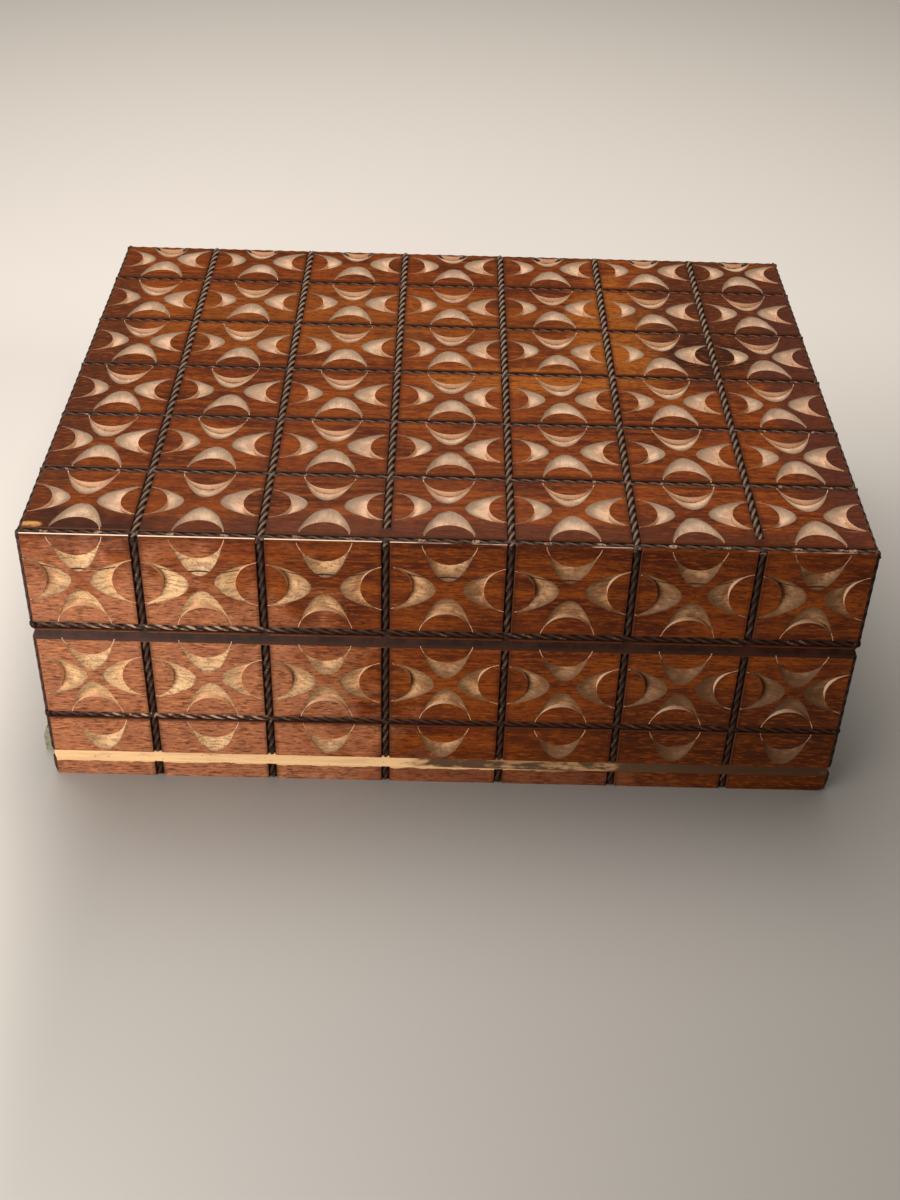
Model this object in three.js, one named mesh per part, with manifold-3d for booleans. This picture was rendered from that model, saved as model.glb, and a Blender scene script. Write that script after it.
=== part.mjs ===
// Carved wooden box with a hinged lid and a shallow tray that slides out of its base.
// Millimetres. X runs along the front, Y from the front to the back, Z up.
// The origin is the middle of the face that the box stands on.

import * as THREE from 'three';
import { mergeVertices } from 'three/addons/utils/BufferGeometryUtils.js';
import Module from 'manifold-3d';

const wasm = await Module();
wasm.setup();

// Driving dimensions: the boards
const boxWidth = 150;
const boxDepth = 116.2;
const wallThickness = 8;
const baseHeight = 6;
const bodyWallHeight = 29.1;
const lidGap = 0.3;
const lidRailHeight = 13.8;
const topBoardThickness = 7.3;
const floorThickness = 3;
const floorRebate = 3;
const floorClearance = 0.2;

// Driving dimensions: the lines that divide the carved faces into tiles
const columnPitch = 21.8;
const rowPitch = 19.6;
const frontRowDepth = 21.2;
const bodyLineHeight = 9.1;
const lidLineHeight = 0.95;
const leastEndTile = 6;
const frontLineInset = 1.25;
const lineStop = 0.1;
const shortLines = [{ column: -0.5, gap: 2.9 }, { column: 2.5, gap: 2.6 }];
const lineWidth = 1.7;
const lineFloorWidth = 0.9;
const lineDepth = 0.8;

// Driving dimensions: the crescents, by the way they face from a tile's edge. A round gouge slopes down
// from its apex to a curved stop cut, whose centre lies at the edge or a little behind it.
const topGouges = {
  below: { radius: 6.4, tilt: 16.5, apex: 8.45, stopRadius: 4.5, stopBack: 0.25 },
  above: { radius: 6.4, tilt: 16.5, apex: 8.6, stopRadius: 4.7, stopBack: 0 },
  left: { radius: 6.1, tilt: 17.5, apex: 7.55, stopRadius: 4.4, stopBack: 0 },
  right: { radius: 6.4, tilt: 16.5, apex: 8.2, stopRadius: 4.4, stopBack: 0.45 },
};
const sideGouges = {
  below: { radius: 6.6, tilt: 16, apex: 8.5, stopRadius: 4.8, stopBack: 0 },
  above: { radius: 6.5, tilt: 16, apex: 8.4, stopRadius: 4.8, stopBack: 0 },
  left: { radius: 6.4, tilt: 16.5, apex: 8.8, stopRadius: 4.5, stopBack: 0 },
  right: { radius: 6.4, tilt: 16.5, apex: 8.4, stopRadius: 4.7, stopBack: 0 },
};
const gougeLowerEnd = 2;
const gougeRun = 3;
const stopHeight = 8;
const cutEase = 0.06;
const lidTileRise = 0.4;
const bodyTileDrop = 0.5;
const handShift = 0.24;
const handDepth = 0.07;
const handTurn = 2.2;
const handSeed = 11;

// Driving dimensions: the arrises
const cornerChamfer = 0.9;
const topChamfer = 0.9;
const topFrontChamfer = 0.35;
const bodyBevelHeight = 1.9;
const bodyBevelDepth = 0.8;
const lidBackBevel = 0.8;
const baseBevelHeight = 2.2;
const baseBevelDepth = 0.9;
const baseEndRadiusLeft = 1.5;
const baseEndRadiusRight = 2.5;

// Driving dimensions: the base strips and the sliding tray
const baseStripDepth = 6.3;
const sideStripWidth = 8;
const trayProud = 3;
const trayTravel = 60;
const trayClearance = 0.3;
const trayEndRoom = 0.4;
const trayEndWidth = 8;
const tongueReach = 2.2;
const tongueThickness = 2;
const tongueHeight = 2.15;
const pocketFloor = 1.6;
const pocketMargin = 9;
const pocketBackMargin = 18;
const stopPinRadius = 1.1;
const stopPinBite = 2.8;
const stopHeadRadius = 1.9;
const stopHeadThickness = 0.6;
const stopPinX = -12;
const stopPinInset = 9.5;
const stopSlotFloor = 0.4;
const pinHoleClearance = 0.2;

// Driving dimensions: the two hinges
const hingeFromSide = 31.4;
const hingeLength = 18;
const barrelRadius = 1.4;
const barrelInset = 0.8;
const barrelClearance = 0.3;
const middleKnuckle = 7.2;
const knuckleGap = 0.2;
const hingePinRadius = 0.6;
const hingePinClearance = 0.1;
const pinHeadRadius = 1;
const pinHeadThickness = 0.4;
const leafThickness = 0.8;
const leafInset = 0.6;
const leafClearance = 0.2;
const nailSpacing = 11;
const nailRadius = 0.45;
const nailLength = 6;
const nailHeadRadius = 0.9;
const nailHeadThickness = 0.35;
const nailClearance = 0.2;

// How far a cutting shape runs past the face that it cuts
const over = 1;
const pinSides = 16;
const barrelSides = 24;
const nailSides = 10;
const gougeSides = 12;
const stopSides = 10;
const arcSteps = 6;

// Places that follow from the driving dimensions
const right = boxWidth / 2;
const back = boxDepth / 2;
const innerRight = right - wallThickness;
const innerBack = back - wallThickness;
const hingeCentre = right - hingeFromSide;
const bodyTop = baseHeight + bodyWallHeight;
const lidBottom = bodyTop + lidGap;
const lidRailTop = lidBottom + lidRailHeight;
const boxTop = lidRailTop + topBoardThickness;
const hingeAxisY = back - barrelInset;
const hingeAxisZ = bodyTop + lidGap / 2;
const stripInner = back - baseStripDepth;
const trayBack = stripInner - trayClearance;
const trayTop = baseHeight - trayClearance;
const stopPinY = trayBack - stopPinInset;

const RIGHT = new THREE.Vector3(1, 0, 0);
const LEFT = new THREE.Vector3(-1, 0, 0);
const BACK = new THREE.Vector3(0, 1, 0);
const FRONT = new THREE.Vector3(0, -1, 0);
const UP = new THREE.Vector3(0, 0, 1);
const DOWN = new THREE.Vector3(0, 0, -1);

const stainedWood = { color: 0x7a3416, roughness: 0.42, metalness: 0 };
const topWood = { color: 0x6e2d14, roughness: 0.34, metalness: 0 };
const plainWood = { color: 0xb98a58, roughness: 0.62, metalness: 0 };
const brass = { color: 0xb08d4a, roughness: 0.38, metalness: 1 };
const steel = { color: 0x8d8a84, roughness: 0.45, metalness: 1 };

// A closed geometry as a solid that can be joined and cut
function solid(geometry) {
  const bare = geometry.clone();
  bare.deleteAttribute('normal');
  bare.deleteAttribute('uv');
  const merged = mergeVertices(bare);
  return new wasm.Manifold(new wasm.Mesh({
    numProp: 3,
    vertProperties: new Float32Array(merged.attributes.position.array),
    triVerts: new Uint32Array(merged.index.array),
  }));
}

// A solid as a geometry that a mesh can hold
function geometryOf(shape) {
  const { vertProperties, triVerts } = shape.getMesh();
  const geometry = new THREE.BufferGeometry();
  geometry.setAttribute('position', new THREE.BufferAttribute(vertProperties, 3));
  geometry.setIndex(new THREE.BufferAttribute(triVerts, 1));
  geometry.computeVertexNormals();
  return geometry;
}

const join = (solids) => solids.reduce((whole, piece) => whole.add(piece));
const cut = (whole, cutters) => whole.subtract(join(cutters));

// A block between its lowest and its highest corner
function block([x0, y0, z0], [x1, y1, z1]) {
  const geometry = new THREE.BoxGeometry(x1 - x0, y1 - y0, z1 - z0);
  geometry.translate((x0 + x1) / 2, (y0 + y1) / 2, (z0 + z1) / 2);
  return solid(geometry);
}

// A section, drawn across and outward, run along a direction from a start
function bar(section, start, outward, along, length) {
  const points = Array.isArray(section) ? section.map(([u, v]) => new THREE.Vector2(u, v)) : null;
  const shape = points ? new THREE.Shape(points) : section;
  const geometry = new THREE.ExtrudeGeometry(shape, {
    depth: length,
    bevelEnabled: false,
    curveSegments: arcSteps,
  });
  const across = new THREE.Vector3().crossVectors(outward, along);
  geometry.applyMatrix4(new THREE.Matrix4().makeBasis(across, outward, along).setPosition(start));
  return solid(geometry);
}

// A rod between two heights, or turned to lie along X
function rod(radius, length, sides, [x, y, z], lying = false) {
  const geometry = new THREE.CylinderGeometry(radius, radius, length, sides);
  if (lying) {
    geometry.rotateZ(Math.PI / 2);
    geometry.translate(x + length / 2, y, z);
  } else {
    geometry.rotateX(Math.PI / 2);
    geometry.translate(x, y, z + length / 2);
  }
  return solid(geometry);
}

// The channel that a rope line is pressed into: slanted sides and a flat floor
function channel(start, outward, along, length) {
  const slope = (lineWidth - lineFloorWidth) / 2 / lineDepth;
  const mouth = lineWidth / 2 + slope * over;
  const floor = lineFloorWidth / 2;
  return bar([[-mouth, over], [-floor, -lineDepth], [floor, -lineDepth], [mouth, over]],
    start, outward, along, length);
}

// What a bevel takes off an arris between two faces: so deep from the first, so deep from the second
function bevel(corner, first, firstDepth, second, secondDepth, length) {
  const along = new THREE.Vector3().crossVectors(first, second);
  const section = [
    [-firstDepth * (1 + over), secondDepth * over],
    [firstDepth * over, -secondDepth * (1 + over)],
    [firstDepth * over + over, secondDepth * over + over],
  ];
  const half = along.clone().multiplyScalar(-length / 2 - over);
  return bar(section, corner.clone().add(half), second, along, length + 2 * over);
}

// Where the lines stand along the width: in pairs out from the middle
function columnLines() {
  const lines = [];
  for (let x = columnPitch / 2; x < right - leastEndTile; x += columnPitch) {
    lines.push(-x, x);
  }
  return lines;
}

// Where the lines stand along the depth: counted from the front
function rowLines() {
  const lines = [];
  for (let y = frontRowDepth - back; y < back - leastEndTile; y += rowPitch) {
    lines.push(y);
  }
  return lines;
}

const at = (x, y, z) => new THREE.Vector3(x, y, z);

// Upright channels round the four sides between two heights
function uprightChannels(low, high) {
  const length = high - low;
  return [
    ...columnLines().flatMap((x) => [
      channel(at(x, -back, low), FRONT, UP, length),
      channel(at(x, back, low), BACK, UP, length),
    ]),
    ...rowLines().flatMap((y) => [
      channel(at(-right, y, low), LEFT, UP, length),
      channel(at(right, y, low), RIGHT, UP, length),
    ]),
  ];
}

// A level channel round the four sides
function levelChannel(height) {
  return [
    channel(at(-right - over, -back, height), FRONT, RIGHT, boxWidth + 2 * over),
    channel(at(-right - over, back, height), BACK, RIGHT, boxWidth + 2 * over),
    channel(at(-right, -back - over, height), LEFT, BACK, boxDepth + 2 * over),
    channel(at(right, -back - over, height), RIGHT, BACK, boxDepth + 2 * over),
  ];
}

// The chamfers of the four upright corners of one storey
function cornerChamfers(bottom, top) {
  const middle = (bottom + top) / 2;
  const height = top - bottom;
  return [
    bevel(at(-right, -back, middle), FRONT, cornerChamfer, LEFT, cornerChamfer, height),
    bevel(at(right, -back, middle), RIGHT, cornerChamfer, FRONT, cornerChamfer, height),
    bevel(at(right, back, middle), BACK, cornerChamfer, RIGHT, cornerChamfer, height),
    bevel(at(-right, back, middle), LEFT, cornerChamfer, BACK, cornerChamfer, height),
  ];
}

// A bevel along the four upper arrises of a storey, where the front one may differ
function upperBevels(top, height, depth, frontHeight = height, frontDepth = depth) {
  return [
    bevel(at(0, -back, top), FRONT, frontDepth, UP, frontHeight, boxWidth),
    bevel(at(0, back, top), BACK, depth, UP, height, boxWidth),
    bevel(at(-right, 0, top), LEFT, depth, UP, height, boxDepth),
    bevel(at(right, 0, top), RIGHT, depth, UP, height, boxDepth),
  ];
}

// Where a line on the top starts: over the front arris, or short of the line beside it
function topLineStart(x) {
  const short = shortLines.find(({ column }) => Math.abs(column * columnPitch - x) < columnPitch / 2);
  return short ? frontLineInset - back + short.gap : -back - over;
}

// The channels that cross on the top of the lid, with one along its front arris
function topChannels() {
  const levels = [frontLineInset - back, ...rowLines()];
  return [
    ...columnLines().map((x) => {
      const start = topLineStart(x);
      return channel(at(x, start, boxTop), UP, BACK, back + over - start);
    }),
    ...levels.map((y) => channel(at(-right - over, y, boxTop), UP, RIGHT, boxWidth + 2 * over)),
  ];
}

// A repeatable source of small differences from -1 to 1, such as a hand makes
function handFrom(seed) {
  let state = seed;
  return () => {
    state = (state * 16807) % 2147483647;
    return (2 * state) / 2147483647 - 1;
  };
}

// What one gouge takes out, in few faces. In its own frame the middle of the tile's edge is the origin,
// the gouge points along Y and Z runs out of the wood.
function crescent({ radius, tilt, apex, stopRadius, stopBack }, place) {
  const slope = THREE.MathUtils.degToRad(tilt);
  const reach = (apex - gougeLowerEnd) / Math.cos(slope);
  const length = reach + gougeRun - cutEase;
  const gouge = new THREE.CylinderGeometry(radius - cutEase, radius - cutEase, length, gougeSides);
  gouge.translate(0, (gougeRun + cutEase - reach) / 2, radius);
  gouge.rotateX(slope);
  gouge.translate(0, apex, 0);
  const outside = (stopRadius + cutEase) / Math.cos(Math.PI / stopSides);
  const stop = new THREE.CylinderGeometry(outside, outside, stopHeight, stopSides);
  stop.rotateY(Math.PI / stopSides);
  stop.rotateX(Math.PI / 2);
  stop.translate(0, -stopBack, 0);
  return solid(gouge.applyMatrix4(place)).subtract(solid(stop.applyMatrix4(place)));
}

// Where one crescent goes: a little off the middle of its edge, deeper or shallower, and turned a little
function handPlace(normal, outward, centre, hand) {
  const lateral = new THREE.Vector3().crossVectors(outward, normal);
  const place = centre.clone()
    .addScaledVector(lateral, hand() * handShift)
    .addScaledVector(outward, hand() * handShift)
    .addScaledVector(normal, hand() * handDepth);
  const turn = THREE.MathUtils.degToRad(hand() * handTurn);
  return new THREE.Matrix4().makeBasis(lateral, outward, normal).setPosition(place)
    .multiply(new THREE.Matrix4().makeRotationZ(turn));
}

// The crescents of one face, tile by tile. Where only one row edge is given, they hang below it.
function faceCrescents({ name, normal, across, up, distance, gouges }, columns, rows, hand) {
  const made = [];
  const down = up.clone().negate();
  const lay = (x, y, outward, way) => {
    const centre = normal.clone().multiplyScalar(distance)
      .addScaledVector(across, x).addScaledVector(up, y);
    const shape = crescent(gouges[way], handPlace(normal, outward, centre, hand));
    made.push({ face: name, height: centre.z, shape });
  };
  columns.slice(1).forEach((end, i) => {
    const start = columns[i];
    const middle = (start + end) / 2;
    if (rows.length === 1) lay(middle, rows[0], down, 'above');
    rows.slice(1).forEach((high, j) => {
      const low = rows[j];
      lay(middle, low, up, 'below');
      lay(middle, high, down, 'above');
      lay(start, (low + high) / 2, across, 'left');
      lay(end, (low + high) / 2, across.clone().negate(), 'right');
    });
  });
  return made;
}

// The crescents of the top and the four sides
function allCrescents() {
  const hand = handFrom(handSeed);
  const columns = [-right, ...columnLines().sort((a, b) => a - b), right];
  const behind = rowLines().at(-1) + rowPitch;
  const topRows = [frontLineInset - back, ...rowLines(), behind];
  const sideRows = [-back, ...rowLines(), behind];
  const lidTiles = [lidBottom + lidLineHeight, boxTop + lidTileRise];
  const bodyTiles = [baseHeight + bodyLineHeight, bodyTop - bodyTileDrop];
  const top = { name: 'top', normal: UP, across: RIGHT, up: BACK, distance: boxTop, gouges: topGouges };
  const sides = [
    { name: 'front', normal: FRONT, across: RIGHT, distance: back },
    { name: 'back', normal: BACK, across: RIGHT, distance: back },
    { name: 'left', normal: LEFT, across: BACK, distance: right },
    { name: 'right', normal: RIGHT, across: BACK, distance: right },
  ];
  return [
    ...faceCrescents(top, columns, topRows, hand),
    ...sides.flatMap((side) => {
      const edges = side.across === RIGHT ? columns : sideRows;
      const face = { ...side, up: UP, gouges: sideGouges };
      const levels = [lidTiles, bodyTiles, [bodyTiles[0]]];
      return levels.flatMap((rows) => faceCrescents(face, edges, rows, hand));
    }),
  ];
}

const crescents = allCrescents();

// The crescents of some faces that may reach into a board between two heights
function crescentsIn(faces, bottom, top) {
  const reach = sideGouges.left.apex;
  const near = ({ height }) => height > bottom - reach && height < top + reach;
  return crescents.filter(({ face }) => faces.includes(face)).filter(near).map(({ shape }) => shape);
}

function part(name, shape, finish) {
  const mesh = new THREE.Mesh(geometryOf(shape), new THREE.MeshStandardMaterial(finish));
  mesh.name = name;
  return mesh;
}

// Four boards round a hollow: the front and back ones run the full width, so their ends are carved too
function fourBoards(storey, bottom, top, carving, finish) {
  const boards = {
    front: [[-right, -back, bottom], [right, -innerBack, top]],
    back: [[-right, innerBack, bottom], [right, back, top]],
    left: [[-right, -innerBack, bottom], [-innerRight, innerBack, top]],
    right: [[innerRight, -innerBack, bottom], [right, innerBack, top]],
  };
  return Object.entries(boards).map(([side, [low, high]]) => {
    const name = storey === 'lid' ? `lid_${side}_rail` : `body_${side}_wall`;
    const faces = low[0] === -right && high[0] === right ? [side, 'left', 'right'] : [side];
    const board = cut(block(low, high), [...carving, ...crescentsIn(faces, bottom, top)]);
    return part(name, board, finish);
  });
}

// The recesses for both hinges: a round pocket for the barrels, and a shallow bed for each leaf
function hingeRecesses(leafSide) {
  const pocketLength = hingeLength + 2 * (pinHeadThickness + barrelClearance);
  const bedHalf = hingeLength / 2 + leafClearance;
  const bedFront = innerBack + leafInset - leafClearance;
  const face = leafSide > 0 ? lidBottom : bodyTop;
  const bed = [face - leafSide * over, face + leafSide * leafThickness].sort((a, b) => a - b);
  return [-hingeCentre, hingeCentre].flatMap((x) => [
    rod(barrelRadius + barrelClearance, pocketLength, barrelSides,
      [x - pocketLength / 2, hingeAxisY, hingeAxisZ], true),
    block([x - bedHalf, bedFront, bed[0]], [x + bedHalf, hingeAxisY, bed[1]]),
    ...nailPlaces(x).map(([nailX, nailY]) => nailHole(nailX, nailY, face, leafSide)),
  ]);
}

// Where the nails of one hinge stand
function nailPlaces(hingeX) {
  const plateBack = hingeAxisY - barrelRadius - barrelClearance;
  const y = (innerBack + leafInset + plateBack) / 2;
  return [[hingeX - nailSpacing / 2, y], [hingeX + nailSpacing / 2, y]];
}

// The hole of a nail in the wood, from the leaf's face on
function nailHole(x, y, face, side) {
  const length = nailLength + nailClearance + over;
  const low = side > 0 ? face - over : face - length + over;
  return rod(nailRadius + nailClearance, length, nailSides, [x, y, low]);
}

// A nail whose head lies in its leaf: side 1 runs up into the lid, side -1 down into the body
function nail(x, y, face, side) {
  const headDepth = leafThickness / 2 - nailHeadThickness;
  const head = face + side * headDepth;
  const headLow = side > 0 ? head : head - nailHeadThickness;
  const shankLow = side > 0 ? head + nailHeadThickness / 2 : face - nailLength;
  const shankHigh = side > 0 ? face + nailLength : head - nailHeadThickness / 2;
  return rod(nailHeadRadius, nailHeadThickness, nailSides, [x, y, headLow])
    .add(rod(nailRadius, shankHigh - shankLow, nailSides, [x, y, shankLow]));
}

// The nails of both leaves of one storey, numbered from the left
function hingeNails(storey, face, side) {
  const places = [-hingeCentre, hingeCentre].flatMap(nailPlaces);
  return places.map(([x, y], i) => part(`${storey}_hinge_nail_${i + 1}`, nail(x, y, face, side), steel));
}

// One leaf with its knuckles: side 1 lies in the lid, side -1 in the body
function hingeLeaf(x, side) {
  const face = side > 0 ? lidBottom : bodyTop;
  const outerLength = (hingeLength - middleKnuckle) / 2 - knuckleGap;
  const knuckles = side > 0
    ? [[x - middleKnuckle / 2, middleKnuckle]]
    : [[x - hingeLength / 2, outerLength], [x + hingeLength / 2 - outerLength, outerLength]];
  const [low, high] = side > 0 ? [face, face + leafThickness] : [face - leafThickness, face];
  const plateFront = innerBack + leafInset;
  const plateBack = hingeAxisY - barrelRadius - barrelClearance;
  const plate = block([x - hingeLength / 2, plateFront, low], [x + hingeLength / 2, plateBack, high]);
  const rolled = knuckles.flatMap(([start, length]) => [
    rod(barrelRadius, length, barrelSides, [start, hingeAxisY, hingeAxisZ], true),
    block([start, plateBack - over, low], [start + length, hingeAxisY, high]),
  ]);
  const sinks = nailPlaces(x).flatMap(([nailX, nailY]) => [
    rod(nailRadius + nailClearance / 2, leafThickness + 2 * over, nailSides, [nailX, nailY, low - over]),
    rod(nailHeadRadius + nailClearance / 2, leafThickness / 2 + over, nailSides,
      [nailX, nailY, side > 0 ? low - over : high - leafThickness / 2]),
  ]);
  const bore = rod(hingePinRadius + hingePinClearance, hingeLength + 2 * over, pinSides,
    [x - hingeLength / 2 - over, hingeAxisY, hingeAxisZ], true);
  return cut(join([plate, ...rolled]), [...sinks, bore]);
}

// The pin of one hinge, with a flat head on each end
function hingePin(x) {
  const start = x - hingeLength / 2;
  return join([
    rod(hingePinRadius, hingeLength + pinHeadThickness, pinSides,
      [start - pinHeadThickness / 2, hingeAxisY, hingeAxisZ], true),
    rod(pinHeadRadius, pinHeadThickness, pinSides, [start - pinHeadThickness, hingeAxisY, hingeAxisZ], true),
    rod(pinHeadRadius, pinHeadThickness, pinSides, [start + hingeLength, hingeAxisY, hingeAxisZ], true),
  ]);
}

// The lid: a top board on four rails
function makeLid() {
  const lid = new THREE.Group();
  const topCarving = [
    ...uprightChannels(lidRailTop - over, boxTop + over),
    ...cornerChamfers(lidRailTop, boxTop),
    ...upperBevels(boxTop, topChamfer, topChamfer, topFrontChamfer, topFrontChamfer),
    ...topChannels(),
    ...crescentsIn(['top', 'front', 'back', 'left', 'right'], lidRailTop, boxTop),
  ];
  const topBlock = block([-right, -back, lidRailTop], [right, back, boxTop]);
  lid.add(part('lid_top_board', cut(topBlock, topCarving), topWood));
  const railCarving = [
    ...uprightChannels(lidBottom - over, lidRailTop + over),
    ...cornerChamfers(lidBottom, lidRailTop),
    ...levelChannel(lidBottom + lidLineHeight),
    bevel(at(0, back, lidBottom), DOWN, lidBackBevel, BACK, lidBackBevel, boxWidth),
    ...hingeRecesses(1),
  ];
  lid.add(...fourBoards('lid', lidBottom, lidRailTop, railCarving, stainedWood));
  lid.add(part('left_hinge_lid_leaf', hingeLeaf(-hingeCentre, 1), brass));
  lid.add(part('right_hinge_lid_leaf', hingeLeaf(hingeCentre, 1), brass));
  lid.add(...hingeNails('lid', lidBottom, 1));
  return lid;
}

// The body: four walls round the floor panel, with the hinge leaves let into the back wall
function makeBody() {
  const body = new THREE.Group();
  const rebate = floorRebate;
  const wallCarving = [
    ...uprightChannels(baseHeight - over, bodyTop - bodyBevelHeight - lineStop),
    ...cornerChamfers(baseHeight, bodyTop),
    ...levelChannel(baseHeight + bodyLineHeight),
    ...upperBevels(bodyTop, bodyBevelHeight, bodyBevelDepth),
    block([-innerRight - rebate, -innerBack - rebate, baseHeight - over],
      [innerRight + rebate, innerBack + rebate, baseHeight + floorThickness]),
    ...hingeRecesses(-1),
  ];
  body.add(...fourBoards('body', baseHeight, bodyTop, wallCarving, stainedWood));
  const floorX = innerRight + rebate - floorClearance;
  const floorY = innerBack + rebate - floorClearance;
  const floorTop = baseHeight + floorThickness;
  const floor = block([-floorX, -floorY, baseHeight], [floorX, floorY, floorTop]);
  const headRoom = stopHeadThickness + pinHoleClearance;
  body.add(part('floor_panel', cut(floor, [
    rod(stopPinRadius + pinHoleClearance, floorThickness + 2 * over, pinSides,
      [stopPinX, stopPinY, baseHeight - over]),
    rod(stopHeadRadius + pinHoleClearance, headRoom + over, pinSides,
      [stopPinX, stopPinY, floorTop - headRoom]),
  ]), plainWood));
  const pinFoot = trayTop - stopPinBite;
  const headBottom = floorTop - headRoom;
  body.add(part('tray_stop_pin', join([
    rod(stopHeadRadius, stopHeadThickness, pinSides, [stopPinX, stopPinY, headBottom]),
    rod(stopPinRadius, headBottom + stopHeadThickness / 2 - pinFoot, pinSides,
      [stopPinX, stopPinY, pinFoot]),
  ]), steel));
  body.add(part('left_hinge_body_leaf', hingeLeaf(-hingeCentre, -1), brass));
  body.add(part('right_hinge_body_leaf', hingeLeaf(hingeCentre, -1), brass));
  body.add(part('left_hinge_pin', hingePin(-hingeCentre), brass));
  body.add(part('right_hinge_pin', hingePin(hingeCentre), brass));
  body.add(...hingeNails('body', bodyTop, -1));
  return body;
}

// The outline of a long base strip seen from the front, with its two lower ends rounded
function stripOutline() {
  const outline = new THREE.Shape();
  outline.moveTo(-right, baseHeight);
  outline.lineTo(-right, baseEndRadiusLeft);
  outline.absarc(baseEndRadiusLeft - right, baseEndRadiusLeft, baseEndRadiusLeft, Math.PI, 1.5 * Math.PI);
  outline.absarc(right - baseEndRadiusRight, baseEndRadiusRight, baseEndRadiusRight, -Math.PI / 2, 0);
  outline.lineTo(right, baseHeight);
  outline.closePath();
  return outline;
}

// The groove in the inner face of a long base strip, from the open left end to the right strip
function tongueGroove(side) {
  const depth = tongueReach + trayClearance;
  const low = tongueHeight - trayClearance;
  const high = tongueHeight + tongueThickness + trayClearance;
  const [near, far] = [stripInner - over, stripInner + depth].map((y) => side * y).sort((a, b) => a - b);
  return block([-right - over, near, low], [right - sideStripWidth, far, high]);
}

// What is cut into the outer faces at base level, also of the tray's end when it is pushed home
function baseCarving() {
  return [
    ...uprightChannels(-over, baseHeight - baseBevelHeight - lineStop),
    ...cornerChamfers(0, baseHeight),
    ...upperBevels(baseHeight, baseBevelHeight, baseBevelDepth),
  ];
}

// The base: a strip under the front, back and right walls. The left side is open for the tray.
function makeBase() {
  const base = new THREE.Group();
  const longCarving = [...baseCarving(), tongueGroove(-1), tongueGroove(1)];
  const longStrip = (front) => bar(stripOutline(), at(0, front, 0), UP, FRONT, baseStripDepth);
  base.add(part('base_front_strip', cut(longStrip(-stripInner), longCarving), stainedWood));
  base.add(part('base_back_strip', cut(longStrip(back), longCarving), stainedWood));
  const side = block([right - sideStripWidth, -stripInner, 0], [right, stripInner, baseHeight]);
  base.add(part('base_right_strip', cut(side, baseCarving()), stainedWood));
  return base;
}

// The section of the tray board seen from its end: a board with a tongue along each side
function traySection() {
  const low = tongueHeight;
  const high = tongueHeight + tongueThickness;
  const reach = stripInner + tongueReach;
  const half = [[trayBack, 0], [trayBack, low], [reach, low], [reach, high], [trayBack, high],
    [trayBack, trayTop]];
  return [...half, ...half.map(([y, z]) => [-y, z]).reverse()];
}

// The tray, drawn pushed home and placed a little way out, with its end strip on the left
function makeTray() {
  const tray = new THREE.Group();
  const boardLeft = trayEndWidth - right;
  const boardRight = right - sideStripWidth - trayEndRoom;
  const board = bar(traySection(), at(boardLeft, 0, 0), UP, RIGHT, boardRight - boardLeft);
  const pocket = block([boardLeft + pocketMargin, pocketMargin - trayBack, pocketFloor],
    [boardRight - pocketMargin, trayBack - pocketBackMargin, trayTop + over]);
  const slotHalf = stopPinRadius + trayClearance;
  const slotFloor = trayTop - stopPinBite - stopSlotFloor;
  const slotEnd = stopPinX + trayProud + trayTravel;
  const slot = [
    block([stopPinX, stopPinY - slotHalf, slotFloor], [slotEnd, stopPinY + slotHalf, trayTop + over]),
    rod(slotHalf, trayTop + over - slotFloor, pinSides, [stopPinX, stopPinY, slotFloor]),
    rod(slotHalf, trayTop + over - slotFloor, pinSides, [slotEnd, stopPinY, slotFloor]),
  ];
  tray.add(part('tray_board', cut(board, [pocket, ...slot]), plainWood));
  const end = block([-right, -trayBack, 0], [boardLeft, trayBack, trayTop]);
  tray.add(part('tray_end_strip', cut(end, baseCarving()), stainedWood));
  tray.position.x = -trayProud;
  return tray;
}

const woodenBox = new THREE.Group();
woodenBox.name = 'wooden_box';
woodenBox.add(makeLid(), makeBody(), makeBase(), makeTray());

export default woodenBox;
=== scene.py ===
"""Looks of a carved wooden box with a hinged lid and a shallow tray in its base.

The boards of the CAD frame are copied, their carved crescents and rope lines are
modelled into the copies, and every piece gets a procedural finish. Sizes are in
millimetres in the classes and turned to metres where a mesh is made.
"""

import logging
import math
import random
from contextlib import contextmanager
from dataclasses import dataclass, field
from enum import Enum
from typing import Callable, Iterable, Iterator, Sequence

import bpy
from mathutils import Matrix, Vector


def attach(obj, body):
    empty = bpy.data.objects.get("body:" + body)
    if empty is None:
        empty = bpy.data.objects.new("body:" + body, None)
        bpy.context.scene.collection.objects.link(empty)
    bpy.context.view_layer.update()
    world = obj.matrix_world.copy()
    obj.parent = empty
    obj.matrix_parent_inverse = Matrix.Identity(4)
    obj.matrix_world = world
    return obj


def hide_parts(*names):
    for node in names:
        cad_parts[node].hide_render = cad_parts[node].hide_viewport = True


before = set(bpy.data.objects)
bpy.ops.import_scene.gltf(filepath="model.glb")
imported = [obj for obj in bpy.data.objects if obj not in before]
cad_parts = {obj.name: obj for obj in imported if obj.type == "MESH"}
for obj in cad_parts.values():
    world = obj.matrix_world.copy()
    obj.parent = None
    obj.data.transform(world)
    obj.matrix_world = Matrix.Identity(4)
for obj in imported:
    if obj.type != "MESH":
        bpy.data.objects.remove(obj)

log = logging.getLogger("wooden_box")

MM = 0.001

Colour = tuple[float, float, float, float]
Triple = tuple[float, float, float]


def stain(red: int, green: int, blue: int) -> Colour:
    """Turns a colour as a screen shows it into the linear one that a socket takes.

    Args:
        red, green, blue: The colour's parts, from 0 to 255.

    Returns:
        The linear colour, opaque.
    """
    parts = [part / 255 for part in (red, green, blue)]
    linear = [p / 12.92 if p <= 0.04045 else ((p + 0.055) / 1.055) ** 2.4 for p in parts]
    return (*linear, 1.0)


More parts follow.
